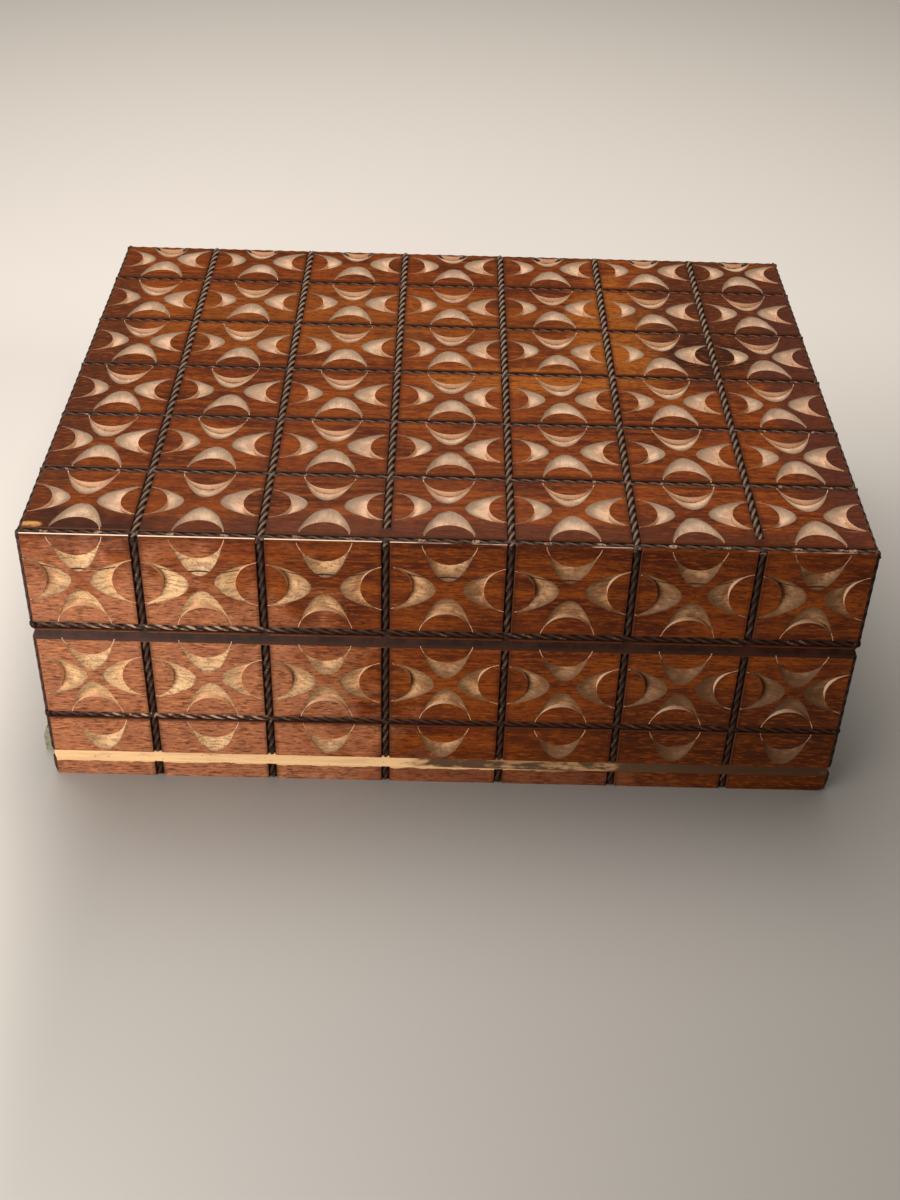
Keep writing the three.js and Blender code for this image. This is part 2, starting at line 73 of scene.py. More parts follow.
class Grain(Enum):
    """The direction that a board's fibres run in."""

    ALONG_WIDTH = (0.06, 1.0, 1.0)
    ALONG_DEPTH = (1.0, 0.06, 1.0)


class Face(Enum):
    """The outer faces that carry tiles: normal, direction of the columns, direction of the rows."""

    TOP = ((0, 0, 1), (1, 0, 0), (0, 1, 0))
    FRONT = ((0, -1, 0), (1, 0, 0), (0, 0, 1))
    BACK = ((0, 1, 0), (1, 0, 0), (0, 0, 1))
    LEFT = ((-1, 0, 0), (0, 1, 0), (0, 0, 1))
    RIGHT = ((1, 0, 0), (0, 1, 0), (0, 0, 1))

    @property
    def normal(self) -> Vector:
        """The direction that the face looks in."""
        return Vector(self.value[0])

    @property
    def columns(self) -> Vector:
        """The direction in which its columns follow each other."""
        return Vector(self.value[1])

    @property
    def rows(self) -> Vector:
        """The direction in which its rows follow each other."""
        return Vector(self.value[2])

    @property
    def is_long(self) -> bool:
        """Whether it runs along the width of the box."""
        return self in (Face.FRONT, Face.BACK)

    @property
    def cut_by(self) -> "tuple[Face, ...]":
        """The faces whose crescents reach its board. The front and back boards end on the sides."""
        return (self, Face.LEFT, Face.RIGHT) if self.is_long else (self,)


SIDES = (Face.FRONT, Face.BACK, Face.LEFT, Face.RIGHT)


class Way(Enum):
    """The edge of its tile that a crescent starts from, and its steps across and up."""

    BELOW = (0, 1)
    ABOVE = (0, -1)
    LEFT = (1, 0)
    RIGHT = (-1, 0)

    def outward(self, face: Face) -> Vector:
        """The direction on a face in which the crescent points."""
        across, upward = self.value
        return face.columns * across + face.rows * upward


class Finish(Enum):
    """The finishes of a board, in the order of its material slots."""

    TOP = 0
    FRONT = 1
    SIDE = 2
    TOP_GOUGED_UP = 3
    TOP_GOUGED_ACROSS = 4
    SIDE_GOUGED = 5
    STOPPED = 6
    SCORED = 7
    LINE = 8
    BEVEL = 9
    BARE = 10
    INNER = 11
    END = 12

    @staticmethod
    def gouged(is_top: bool, way: Way) -> "Finish":
        """The finish of the floor of a crescent.

        Args:
            is_top: Whether the crescent is on the top.
            way: The edge that it starts from.

        Returns:
            The finish.
        """
        if not is_top:
            return Finish.SIDE_GOUGED
        return Finish.TOP_GOUGED_UP if way in (Way.BELOW, Way.ABOVE) else Finish.TOP_GOUGED_ACROSS


class Value:
    """A number, vector or colour inside a material, whose arithmetic adds nodes."""

    def __init__(self, bench: "Bench", socket: bpy.types.NodeSocket) -> None:
        """Keeps the output that carries the value.

        Args:
            bench: The node tree that it belongs to.
            socket: The output of a node.
        """
        self.bench = bench
        self.socket = socket

    def math(self, operation: str, *terms: "float | Value") -> "Value":
        """Adds a Math node.

        Args:
            operation: The name of the Math node's operation.
            terms: Its inputs, in order.

        Returns:
            The result.
        """
        node = self.bench.node("ShaderNodeMath", {"operation": operation}, dict(enumerate(terms)))
        return Value(self.bench, node.outputs[0])

    def __add__(self, other: "float | Value") -> "Value":
        """The sum."""
        return self.math("ADD", self, other)

    def __sub__(self, other: "float | Value") -> "Value":
        """The difference."""
        return self.math("SUBTRACT", self, other)

    def __rsub__(self, other: float) -> "Value":
        """The difference from a number."""
        return self.math("SUBTRACT", other, self)

    def __mul__(self, other: "float | Value") -> "Value":
        """The product."""
        return self.math("MULTIPLY", self, other)

    def __abs__(self) -> "Value":
        """The size without its sign."""
        return self.math("ABSOLUTE", self)

    def __pow__(self, other: float) -> "Value":
        """The power."""
        return self.math("POWER", self, other)

    __radd__ = __add__
    __rmul__ = __mul__

    def lesser(self, other: "float | Value") -> "Value":
        """The lesser of two values."""
        return self.math("MINIMUM", self, other)

    def greater(self, other: "float | Value") -> "Value":
        """The greater of two values."""
        return self.math("MAXIMUM", self, other)

    def wrapped(self, low: float, high: float) -> "Value":
        """The value brought into a range by whole turns of the range's length."""
        return self.math("WRAP", self, high, low)

    def rise(self, low: float, high: float) -> "Value":
        """Goes smoothly from 0 at low to 1 at high.

        Args:
            low: Where the rise starts.
            high: Where it ends.

        Returns:
            The smooth step, from 0 to 1.
        """
        node = self.bench.node(
            "ShaderNodeMapRange",
            {"interpolation_type": "SMOOTHSTEP"},
            {"Value": self, "From Min": low, "From Max": high},
        )
        return Value(self.bench, node.outputs[0])

    def fall(self, low: float, high: float) -> "Value":
        """Goes smoothly from 1 at low to 0 at high."""
        return 1.0 - self.rise(low, high)


class Bench:
    """The node tree of one material while it is put together."""

    coat_roughness = 0.25
    patch_edge = (0.65, 1.15)

    def __init__(self, name: str) -> None:
        """Starts an empty material.

        Args:
            name: The material's name.
        """
        self.material = bpy.data.materials.new(name)
        self.material.use_nodes = True
        self.tree = self.material.node_tree
        self.tree.nodes.clear()
        coordinates = self.node("ShaderNodeTexCoord")
        self.place = self.stretched(Value(self, coordinates.outputs["Object"]), (1 / MM,) * 3)
        parts = self.node("ShaderNodeSeparateXYZ", inputs={0: self.place})
        self.x, self.y, self.z = (Value(self, socket) for socket in parts.outputs)

    def node(self, kind: str, settings: dict | None = None, inputs: dict | None = None) -> bpy.types.Node:
        """Adds a node.

        Args:
            kind: The node's type.
            settings: Its settings by name.
            inputs: What goes into its inputs, by name or number: a number, a colour or a Value.

        Returns:
            The node.
        """
        made = self.tree.nodes.new(kind)
        for name, setting in (settings or {}).items():
            setattr(made, name, setting)
        for key, given in (inputs or {}).items():
            if isinstance(given, Value):
                self.tree.links.new(given.socket, made.inputs[key])
            else:
                made.inputs[key].default_value = given
        return made

    def stretched(self, vector: Value, factors: Triple) -> Value:
        """A vector times a factor along each axis."""
        node = self.node("ShaderNodeVectorMath", {"operation": "MULTIPLY"}, {0: vector, 1: factors})
        return Value(self, node.outputs[0])

    def moved(self, vector: Value, by: Triple) -> Value:
        """A vector moved by a distance."""
        node = self.node("ShaderNodeVectorMath", {"operation": "ADD"}, {0: vector, 1: by})
        return Value(self, node.outputs[0])

    def noise(
        self,
        size: float,
        stretch: Triple = (1.0, 1.0, 1.0),
        detail: float = 3.0,
        roughness: float = 0.55,
        distortion: float = 0.0,
        seed: float = 0.0,
    ) -> Value:
        """Soft random spots.

        Args:
            size: The size of a spot in millimetres.
            stretch: A factor on each axis, below 1 for spots that are long there.
            detail: How many finer layers are added.
            roughness: How strong the finer layers are.
            distortion: How far the spots are bent.
            seed: A shift that gives another pattern.

        Returns:
            The noise, near 0.5 on average.
        """
        vector = self.stretched(self.moved(self.place, (seed, seed, seed)), stretch)
        node = self.node(
            "ShaderNodeTexNoise",
            inputs={
                "Vector": vector,
                "Scale": 1 / size,
                "Detail": detail,
                "Roughness": roughness,
                "Distortion": distortion,
            },
        )
        return Value(self, node.outputs[0])

    def mix(self, share: "float | Value", first: "Colour | Value", second: "Colour | Value") -> Value:
        """Goes from one colour to another.

        Args:
            share: How much of the second colour there is, from 0 to 1.
            first: The colour at 0.
            second: The colour at 1.

        Returns:
            The mixed colour.
        """
        node = self.node("ShaderNodeMix", {"data_type": "RGBA"}, {0: share, 6: first, 7: second})
        return Value(self, node.outputs[2])

    def attribute(self, name: str) -> Value:
        """A value that the mesh carries at its points."""
        node = self.node("ShaderNodeAttribute", {"attribute_name": name})
        return Value(self, node.outputs["Fac"])

    def spot(self, centre: Triple, radii: Triple, warp: Value) -> Value:
        """A soft-edged patch.

        Args:
            centre: Its middle in millimetres.
            radii: Its half sizes along the axes.
            warp: A value that makes its edge uneven, near 0 on average.

        Returns:
            1 inside the patch, 0 outside.
        """
        moved = self.moved(self.place, tuple(-c for c in centre))
        scaled = self.stretched(moved, tuple(1 / r for r in radii))
        node = self.node("ShaderNodeVectorMath", {"operation": "LENGTH"}, {0: scaled})
        return (Value(self, node.outputs["Value"]) + warp).fall(*self.patch_edge)

    def finish(
        self,
        colour: "Colour | Value",
        roughness: "float | Value",
        bump: "Value | None" = None,
        bump_depth: float = 0.05,
        metallic: float = 0.0,
        coat: float = 0.0,
        specular: float = 0.5,
    ) -> bpy.types.Material:
        """Puts the surface on the material.

        Args:
            colour: Its colour.
            roughness: Its roughness.
            bump: A height from 0 to 1 that roughens the surface.
            bump_depth: The height of a full bump in millimetres.
            metallic: 1 for metal.
            coat: The weight of a clear lacquer.
            specular: The strength of the surface's own shine.

        Returns:
            The finished material.
        """
        inputs = {
            "Base Color": colour,
            "Roughness": roughness,
            "Metallic": metallic,
            "Coat Weight": coat,
            "Coat Roughness": self.coat_roughness,
            "Specular IOR Level": specular,
        }
        if bump is not None:
            relief = {"Height": bump, "Distance": bump_depth * MM, "Strength": 1.0}
            dented = self.node("ShaderNodeBump", inputs=relief)
            inputs["Normal"] = Value(self, dented.outputs[0])
        surface = self.node("ShaderNodeBsdfPrincipled", inputs=inputs)
        self.node("ShaderNodeOutputMaterial", inputs={"Surface": Value(self, surface.outputs[0])})
        return self.material


@dataclass(frozen=True)
class TileGrid:
    """Where the lines stand that divide the outer faces into tiles.

    The crescents of lid and body divide at the parting. The creep is how far the stain of a
    line reaches beside it, and a hair is the width of a sharp change in a finish.
    """

    half_width: float = 75.0
    half_depth: float = 58.1
    top: float = 56.5
    seam: float = 49.2
    column_pitch: float = 21.8
    row_pitch: float = 19.6
    first_row: float = -36.9
    front_line: float = -56.85
    lid_row: tuple[float, float] = (36.35, 56.9)
    body_row: tuple[float, float] = (15.1, 34.6)
    parting: float = 35.5
    creep: tuple[float, float] = (0.8, 1.7)
    hair: float = 0.01

    @property
    def halves(self) -> Vector:
        """How far the right side, the back and the top lie from the origin."""
        return Vector((self.half_width, self.half_depth, self.top))

    @property
    def column_lines(self) -> list[float]:
        """The lines along the width, from the left."""
        return [self.column_pitch * (i - 2.5) for i in range(6)]

    @property
    def row_lines(self) -> list[float]:
        """The lines along the depth, from the front."""
        return [self.first_row + self.row_pitch * i for i in range(5)]

    @property
    def column_edges(self) -> list[float]:
        """The edges of the tiles along the width."""
        return [-self.half_width, *self.column_lines, self.half_width]

    @property
    def top_edges(self) -> list[float]:
        """The edges of the top's tiles along the depth. The last tile runs off the back edge."""
        return [self.front_line, *self.row_lines, self.row_lines[-1] + self.row_pitch]

    @property
    def side_edges(self) -> list[float]:
        """The edges of the sides' tiles along the depth. The last tile runs off the back edge."""
        return [-self.half_depth, *self.row_lines, self.row_lines[-1] + self.row_pitch]

    def half_length(self, face: Face) -> float:
        """Half the length of a side."""
        return self.half_width if face.is_long else self.half_depth

    def uprights(self, face: Face) -> list[float]:
        """The lines that run up a side."""
        return self.column_lines if face.is_long else self.row_lines

    def tile_edges(self, face: Face) -> list[float]:
        """The upright edges of a side's tiles."""
        return self.column_edges if face.is_long else self.side_edges

    def depth(self, bench: Bench) -> Value:
        """The depth below the nearest outer face."""
        side = (self.half_width - abs(bench.x)).lesser(self.half_depth - abs(bench.y))
        return side.lesser(self.top - bench.z)

    def across_columns(self, bench: Bench) -> Value:
        """The distance from the middle of a column of the front, top and back."""
        return bench.x.wrapped(-self.column_pitch / 2, self.column_pitch / 2)

    def from_row_line(self, bench: Bench) -> Value:
        """Measures the top's tiles along the depth.

        Args:
            bench: The material's node tree.

        Returns:
            The distance from the nearest line, with the front line for the first half tile.
        """
        half = self.row_pitch / 2
        front_end = self.first_row - half
        inner = (bench.y - self.first_row).wrapped(-half, half)
        is_front = bench.y.fall(front_end - self.hair, front_end)
        return is_front * (bench.y - self.front_line) + (1.0 - is_front) * inner

    def across_rows(self, bench: Bench) -> Value:
        """Measures the tiles of the left and right sides, whose first column is the narrower one.

        Args:
            bench: The material's node tree.

        Returns:
            The distance from the middle of a column.
        """
        half = self.row_pitch / 2
        inner = (bench.y - (self.first_row + half)).wrapped(-half, half)
        is_front = bench.y.fall(self.first_row - self.hair, self.first_row)
        middle = (self.first_row - self.half_depth) / 2
        return is_front * (bench.y - middle) + (1.0 - is_front) * inner

    def from_level_line(self, bench: Bench) -> Value:
        """Measures the four sides upwards.

        Args:
            bench: The material's node tree.

        Returns:
            The distance from the nearest level line, 0 in the band between lid and body.
        """
        lid_line, top_line = self.lid_row
        body_line, rim_line = self.body_row
        between = abs(bench.z - (lid_line + rim_line) / 2) - (lid_line - rim_line) / 2
        return abs(bench.z - top_line).lesser(abs(bench.z - body_line)).lesser(between.greater(0.0))

    def line_shade(self, bench: Bench, face: Face) -> Value:
        """The stain that has crept out of the lines into the wood beside them.

        Args:
            bench: The material's node tree.
            face: The face whose lines are meant.

        Returns:
            1 at a line, 0 away from it.
        """
        if face is Face.LEFT:
            upright = self.row_pitch / 2 - abs(self.across_rows(bench))
        else:
            upright = self.column_pitch / 2 - abs(self.across_columns(bench))
        along = self.from_row_line(bench) if face is Face.TOP else self.from_level_line(bench)
        return upright.lesser(abs(along)).fall(*self.creep)


GRID = TileGrid()


@dataclass(frozen=True)
class Patch:
    """A place on a board whose colour differs, with the glow as the colour of its light dashes. On the top
    a patch is a change of stain; on the front the patches are painted light and shade.
    """

    centre: Triple
    radii: Triple
    colour: Colour
    share: float
    glow: Colour | None = None


@dataclass(frozen=True)
class StainedWood:
    """Brown stained and lacquered wood with fine dark dashes along its grain."""

    name: str
    face: Face
    grain: Grain
    deep: Colour = stain(76, 28, 8)
    middle: Colour = stain(120, 54, 14)
    warm: Colour = stain(158, 80, 20)
    pore: Colour = stain(40, 16, 6)
    arris: Colour = stain(244, 208, 180)
    raw: Colour = stain(226, 184, 134)
    patches: tuple[Patch, ...] = ()
    mottle_size: float = 9.0
    figure_size: float = 1.8
    light_dash_size: float = 0.5
    dark_dash_size: float = 0.42
    pore_size: float = 0.24
    dash_stretch: float = 0.2
    figure_share: float = 0.6
    light_share: float = 0.55
    dark_share: float = 0.7
    pore_share: float = 0.6
    creep_share: float = 0.45
    joint_share: float = 0.5
    chip_size: float = 2.2
    chip_height: float = 1.7

    def material(self) -> bpy.types.Material:
        """Makes the finish.

        Returns:
            The material.
        """
        bench = Bench(self.name)
        dash = tuple(self.dash_stretch if f < 1 else 1.0 for f in self.grain.value)
        light_dash = bench.noise(self.light_dash_size, dash, 3.0, 0.6, seed=11.0)
        dark_dash = bench.noise(self.dark_dash_size, dash, 3.0, 0.6, seed=37.0)
        pores = bench.noise(self.pore_size, dash, 2.0, 0.5, seed=23.0)
        colour, warm = self.patched(bench, self.figured(bench))
        colour = bench.mix(light_dash.rise(0.5, 0.66) * self.light_share, colour, warm)
        colour = bench.mix(dark_dash.rise(0.5, 0.66) * self.dark_share, colour, self.deep)
        colour = bench.mix(pores.rise(0.56, 0.66) * self.pore_share, colour, self.pore)
        colour = bench.mix(GRID.line_shade(bench, self.face) * self.creep_share, colour, self.pore)
        roughness = 0.28 + bench.noise(6.0, detail=4.0, seed=17.0) * 0.14
        if self.face is Face.FRONT:
            wear = self.worn_arris(bench)
            colour = self.marked_front(bench, colour, wear)
            roughness = roughness + wear * 0.2
        height = dark_dash.rise(0.5, 0.68) * -0.4 + pores.rise(0.57, 0.68) * -0.3
        return bench.finish(colour, roughness, height, 0.02, coat=0.06, specular=0.15)

    def figured(self, bench: Bench) -> Value:
        """The broad figure of the stained wood, light and dark along the grain.

        Args:
            bench: The material's node tree.

        Returns:
            The colour.
        """
        mottle = bench.noise(self.mottle_size, (0.6, 0.9, 0.9), 3.0)
        figure = bench.noise(self.figure_size, self.grain.value, 3.0, 0.6, 0.3, seed=3.0)
        colour = bench.mix(mottle.rise(0.34, 0.66), self.deep, self.middle)
        return bench.mix(figure.rise(0.42, 0.68) * self.figure_share, colour, self.warm)

    def patched(self, bench: Bench, colour: Value) -> "tuple[Value, Colour | Value]":
        """Lays the patches over the wood.

        Args:
            bench: The material's node tree.
            colour: The wood without them.

        Returns:
            The patched colour, and the colour of the light dashes over it.
        """
        edge = (bench.noise(5.0, detail=4.0, seed=31.0) - 0.5) * 1.1
        warm = self.warm
        for patch in self.patches:
            share = bench.spot(patch.centre, patch.radii, edge) * patch.share
            colour = bench.mix(share, colour, patch.colour)
            if patch.glow is not None:
                warm = bench.mix(share, warm, patch.glow)
        return colour, warm

    def worn_arris(self, bench: Bench) -> Value:
        """The front's upper arris, rubbed bare in places and most of all at the left.

        Args:
            bench: The material's node tree.

        Returns:
            1 where it is bare, 0 where its stain is whole.
        """
        left = bench.x.fall(-30.0, 16.0)
        ridge = bench.z.rise(GRID.top - 0.16, GRID.top - 0.1)
        kept = bench.noise(3.0, (0.3, 1.0, 1.0), seed=41.0) + left * 0.3
        return ridge * kept.rise(0.52, 0.64) * (0.5 + left * 0.5)

    def marked_front(self, bench: Bench, colour: Value, wear: Value) -> Value:
        """Marks the front with its boards' joint, its worn arris and the chipped edge over its bevel.

        Args:
            bench: The material's node tree.
            colour: The wood without the marks.
            wear: How far the arris is rubbed bare.

        Returns:
            The marked colour.
        """
        joint = abs(bench.z - GRID.seam).fall(0.05, 0.14)
        colour = bench.mix(joint * self.joint_share, colour, self.pore)
        colour = bench.mix(wear, colour, self.arris)
        chips = bench.noise(self.chip_size, (0.4, 1.0, 1.0), 4.0, 0.65, seed=43.0)
        ragged = (bench.z + chips * self.chip_height).rise(4.22, 4.36)
        chipped = ragged * bench.z.fall(4.2, 4.6) * bench.x.fall(6.0, 30.0)
        return bench.mix(chipped, colour, self.raw)


@dataclass(frozen=True)
class GougedWood:
    """The pale floor of a crescent: raw wood cut with a round gouge, greyer near its rim. On the front,
    painted light makes it lighter at the left and painted shade darker towards the right and the bottom.
    """

    name: str
    strokes: Triple
    pale: Colour
    tan: Colour
    shallow: Colour
    fibre: float = 0.24
    speckle: float = 0.3
    ruling: float = 0.16
    rim: Colour = stain(84, 50, 30)
    grime: Colour = stain(96, 66, 44)
    seam: Colour = stain(42, 22, 12)
    dark_to_right: Colour = stain(88, 56, 34)
    lit: Colour = stain(252, 210, 158)
    shallow_depth: tuple[float, float] = (0.08, 0.7)
    shallow_share: float = 0.8
    rim_depth: tuple[float, float] = (0.02, 0.16)
    joint: tuple[float, float] = (0.1, 0.19)
    lit_share: float = 0.62
    rim_share: float = 0.7
    dark_to_right_share: float = 0.8

    def material(self) -> bpy.types.Material:
        """Makes the finish.

        Returns:
            The material.
        """
        bench = Bench(self.name)
        depth = GRID.depth(bench)
        ruled = bench.noise(self.fibre, self.strokes, 3.0, 0.65, seed=7.0)
        flecks = bench.noise(self.fibre, detail=3.0, roughness=0.7, seed=9.0)
        cloud = bench.noise(3.0, detail=3.0, seed=13.0)
        colour = bench.mix(cloud.rise(0.4, 0.64), self.tan, self.pale)
        colour = bench.mix(depth.fall(*self.shallow_depth) * self.shallow_share, colour, self.shallow)
        # Painted light: the front's crescents lighter towards the left.
        front = bench.y.fall(-56.6, -56.0)
        left = front * bench.x.rise(-76.0, -58.0) * bench.x.fall(-58.0, -4.0)
        colour = bench.mix(left * self.lit_share, colour, self.lit)
        colour = bench.mix(ruled.rise(0.48, 0.6) * self.ruling, colour, self.grime)
        colour = bench.mix(flecks.rise(0.54, 0.64) * self.speckle, colour, self.grime)
        at_rim = depth.fall(*self.rim_depth) * cloud.rise(0.4, 0.6)
        colour = bench.mix(at_rim * self.rim_share, colour, self.rim)
        colour = bench.mix(abs(bench.z - GRID.seam).fall(*self.joint), colour, self.seam)
        # Painted shade: the front's crescents darker towards the right and the bottom.
        low = 1.0 - bench.z.rise(14.0, 54.0) * 0.6
        right = front * bench.x.rise(-30.0, 60.0) * low
        colour = bench.mix(right * self.dark_to_right_share, colour, self.dark_to_right)
        return bench.finish(colour, 0.55 + flecks * 0.2, ruled + flecks, 0.02, specular=0.3)


@dataclass(frozen=True)
class StoppedWood:
    """The upright inner wall of a crescent: pale, with painted shade along its foot and grime along its
    rim.
    """

    name: str = "stopped_wood"
    wall: Colour = stain(234, 198, 166)
    tan: Colour = stain(224, 188, 156)
    grime: Colour = stain(92, 60, 40)
    foot: tuple[float, float] = (0.96, 1.06)
    foot_shade_share: float = 0.6
    edge: tuple[float, float] = (0.02, 0.1)
    edge_share: float = 0.5

    def material(self) -> bpy.types.Material:
        """Makes the finish.

        Returns:
            The material.
        """
        bench = Bench(self.name)
        dust = bench.noise(0.6, detail=4.0, seed=2.0)
        depth = GRID.depth(bench)
        colour = bench.mix(dust.rise(0.46, 0.66), self.wall, self.tan)
        # Painted shade in the crease along the wall's foot, broken up by the dust noise.
        foot_shade = depth.rise(*self.foot) * dust.rise(0.44, 0.56)
        colour = bench.mix(foot_shade * self.foot_shade_share, colour, self.grime)
        colour = bench.mix(depth.fall(*self.edge) * self.edge_share, colour, self.grime)
        return bench.finish(colour, 0.6, dust, 0.03, specular=0.3)


@dataclass(frozen=True)
class LineStain:
    """The dark stain of the channels, corners and bevels, with painted light on their walls near the face.
    """

    name: str
    dark: Colour = stain(32, 18, 12)
    light: Colour = stain(58, 34, 24)
    share: float = 0.5
    # Painted light on the upper part of the walls, near the face:
    lip_light: Colour = stain(104, 54, 26)
    lip_light_depth: tuple[float, float] = (0.16, 0.34)
    lip_light_share: float = 0.8

    def material(self) -> bpy.types.Material:
        """Makes the finish.

        Returns:
            The material.
        """
        bench = Bench(self.name)
        blotch = bench.noise(2.4, detail=4.0, seed=4.0)
        fine = bench.noise(0.4, detail=2.0, seed=9.0)
        colour = bench.mix(blotch.rise(0.36, 0.66) * self.share, self.dark, self.light)
        # Painted light: the walls of the channels and bevels lighter near the face.
        colour = bench.mix(GRID.depth(bench).fall(*self.lip_light_depth) * self.lip_light_share, colour, self.lip_light)
        return bench.finish(colour, 0.42 + fine * 0.2, fine, 0.03, specular=0.15)


@dataclass(frozen=True)
class RopeStrands:
    """Twisted strands: lighter where they stand proud, as a painted highlight, and dark in between, as
    painted shade.
    """

    name: str
    # Painted light and shade: gap is painted shade between the strands, and the lighter strands are painted
    # highlights.
    gap: Colour = stain(34, 19, 12)
    strand: Colour = stain(62, 38, 27)
    # Painted light: lighter strands on the top's ropes, and towards the back a painted sheen on the bold
    # and edge ropes.
    lit_top_strand: Colour = stain(132, 106, 88)
    far_strand: Colour = stain(158, 134, 114)
    worn: Colour = stain(166, 138, 114)
    worn_share: float = 0.5
    nick: Colour = stain(172, 142, 120)
    nick_share: float = 0.8
    raw: Colour = stain(196, 160, 136)
    raw_share: float = 0.8
    scored_at: float = 4.7
    scribble: Triple = (69.3, -57.2, 56.2)
    scribble_size: Triple = (2.0, 1.4, 1.2)

    def material(self) -> bpy.types.Material:
        """Makes the finish.

        Returns:
            The material.
        """
        bench = Bench(self.name)
        proud = bench.attribute("strand")
        blotch = bench.noise(5.0, detail=4.0, seed=6.0)
        fine = bench.noise(0.35, detail=3.0, seed=8.0)
        # Painted light: ropes on the top lighter than those on the sides, and the bold and edge ropes
        # lighter still towards the back, as a painted sheen.
        upper = bench.z.rise(GRID.top - 1.2, GRID.top - 0.6)
        lit_top_strand = bench.mix(bench.y.rise(-24.0, 24.0), self.lit_top_strand, self.far_strand)
        strand = bench.mix(upper, self.strand, lit_top_strand)
        # Painted highlight on the crests of the strands, painted shade in the grooves between them.
        colour = bench.mix(proud.rise(0.45, 1.0) ** 2.0, self.gap, strand)
        rubbed = proud.rise(0.6, 1.0) * blotch.rise(0.5, 0.68) * fine.rise(0.4, 0.6)
        colour = bench.mix(rubbed * self.worn_share, colour, self.worn)
        colour = bench.mix(self.chipped(bench, proud) * self.raw_share, colour, self.raw)
        colour = bench.mix(self.nicked(bench, upper, fine) * self.nick_share, colour, self.nick)
        return bench.finish(colour, 0.42 + fine * 0.16, fine, 0.02, specular=0.2)

    def chipped(self, bench: Bench, proud: Value) -> Value:
        """Raw chips on the level ropes at the left of the front.

        Args:
            bench: The material's node tree.
            proud: How proud the strand stands.

        Returns:
            1 on a chip, 0 beside it.
        """
        left = bench.x.rise(-68.0, -60.0) * bench.x.fall(-40.0, -26.0) * bench.y.fall(-57.0, -56.5)
        lid_line, body_line = (abs(bench.z - row[0]) for row in (GRID.lid_row, GRID.body_row))
        level = lid_line.lesser(body_line).fall(0.6, 0.9)
        return left * level * proud.rise(0.55, 0.95) * bench.noise(1.4, seed=15.0).rise(0.42, 0.6)

    def nicked(self, bench: Bench, upper: Value, fine: Value) -> Value:
        """Nicks where the scored lines cross the top's ropes, and a scratched place at the right corner.

        Args:
            bench: The material's node tree.
            upper: 1 on the top's ropes.
            fine: Fine noise.

        Returns:
            1 on a nick, 0 beside it.
        """
        arris = bench.y.fall(-56.2, -55.6)
        score = abs(abs(GRID.across_columns(bench)) - self.scored_at) - arris * 0.4
        crossed = score.fall(0.1, 0.4) * bench.y.fall(-20.0, 30.0) * upper * fine.rise(0.4, 0.56)
        scribble = bench.spot(self.scribble, self.scribble_size, fine - 0.5) * fine.rise(0.5, 0.56)
        return crossed.greater(scribble)


@dataclass(frozen=True)
class BareWood:
    """The bevel of the base, rubbed down to raw wood at the left and dirty at the right."""

    name: str = "bare_wood"
    raw: Colour = stain(232, 190, 140)
    tan: Colour = stain(158, 116, 80)
    dark_to_right: Colour = stain(50, 30, 18)
    brown: Colour = stain(66, 38, 22)
    fibre_share: float = 0.35
    dull_share: float = 0.75
    dark_to_right_share: float = 0.85
    brown_share: float = 0.6
    speck_share: float = 0.7
    side_share: float = 0.45

    def material(self) -> bpy.types.Material:
        """Makes the finish.

        Returns:
            The material.
        """
        bench = Bench(self.name)
        fibre = bench.noise(0.7, Grain.ALONG_WIDTH.value, 3.0, 0.6, seed=1.0)
        patch = bench.noise(3.4, (0.4, 1.0, 1.6), 4.0, 0.6, seed=12.0)
        speck = bench.noise(0.5, detail=2.0, seed=21.0)
        dirty = (patch - 0.5 + bench.x.rise(-34.0, 50.0) * 0.3).rise(0.12, 0.24)
        dull = (patch - 0.5 + bench.x.rise(-30.0, 45.0) * 0.52).rise(0.06, 0.3)
        colour = bench.mix(fibre.rise(0.4, 0.7) * self.fibre_share, self.raw, self.tan)
        colour = bench.mix(dull * self.dull_share, colour, self.tan)
        colour = bench.mix(dirty * self.dark_to_right_share, colour, self.dark_to_right)
        colour = bench.mix(bench.x.rise(34.0, 60.0) * self.brown_share, colour, self.brown)
        colour = bench.mix(speck.rise(0.66, 0.74) * self.speck_share, colour, self.brown)
        off_front = bench.y.rise(-57.0, -56.0)
        colour = bench.mix(off_front * self.side_share * patch.rise(0.3, 0.5), colour, self.brown)
        return bench.finish(colour, 0.6, fibre, 0.03, specular=0.2)


@dataclass(frozen=True)
class PlainWood:
    """Unstained wood: the inside, the floor and the tray."""

    name: str
    grain: Grain
    light: Colour = stain(186, 142, 94)
    dark: Colour = stain(136, 94, 58)
    pore: Colour = stain(92, 58, 34)
    ring_size: float = 3.6
    fibre_size: float = 0.6
    fibre_share: float = 0.4
    pore_size: float = 0.28
    pore_stretch: float = 0.12
    pore_share: float = 0.5

    def material(self) -> bpy.types.Material:
        """Makes the finish.

        Returns:
            The material.
        """
        bench = Bench(self.name)
        along = self.grain.value
        dash = tuple(self.pore_stretch if f < 1 else 1.0 for f in along)
        rings = bench.noise(self.ring_size, along, 3.0, 0.55, 0.6, seed=2.0)
        fibre = bench.noise(self.fibre_size, along, 3.0, 0.6, seed=14.0)
        pores = bench.noise(self.pore_size, dash, 2.0, seed=25.0)
        colour = bench.mix(rings.rise(0.38, 0.64), self.light, self.dark)
        colour = bench.mix(fibre.rise(0.5, 0.75) * self.fibre_share, colour, self.dark)
        colour = bench.mix(pores.rise(0.58, 0.7) * self.pore_share, colour, self.pore)
        return bench.finish(colour, 0.56 + fibre * 0.14, fibre, 0.03)


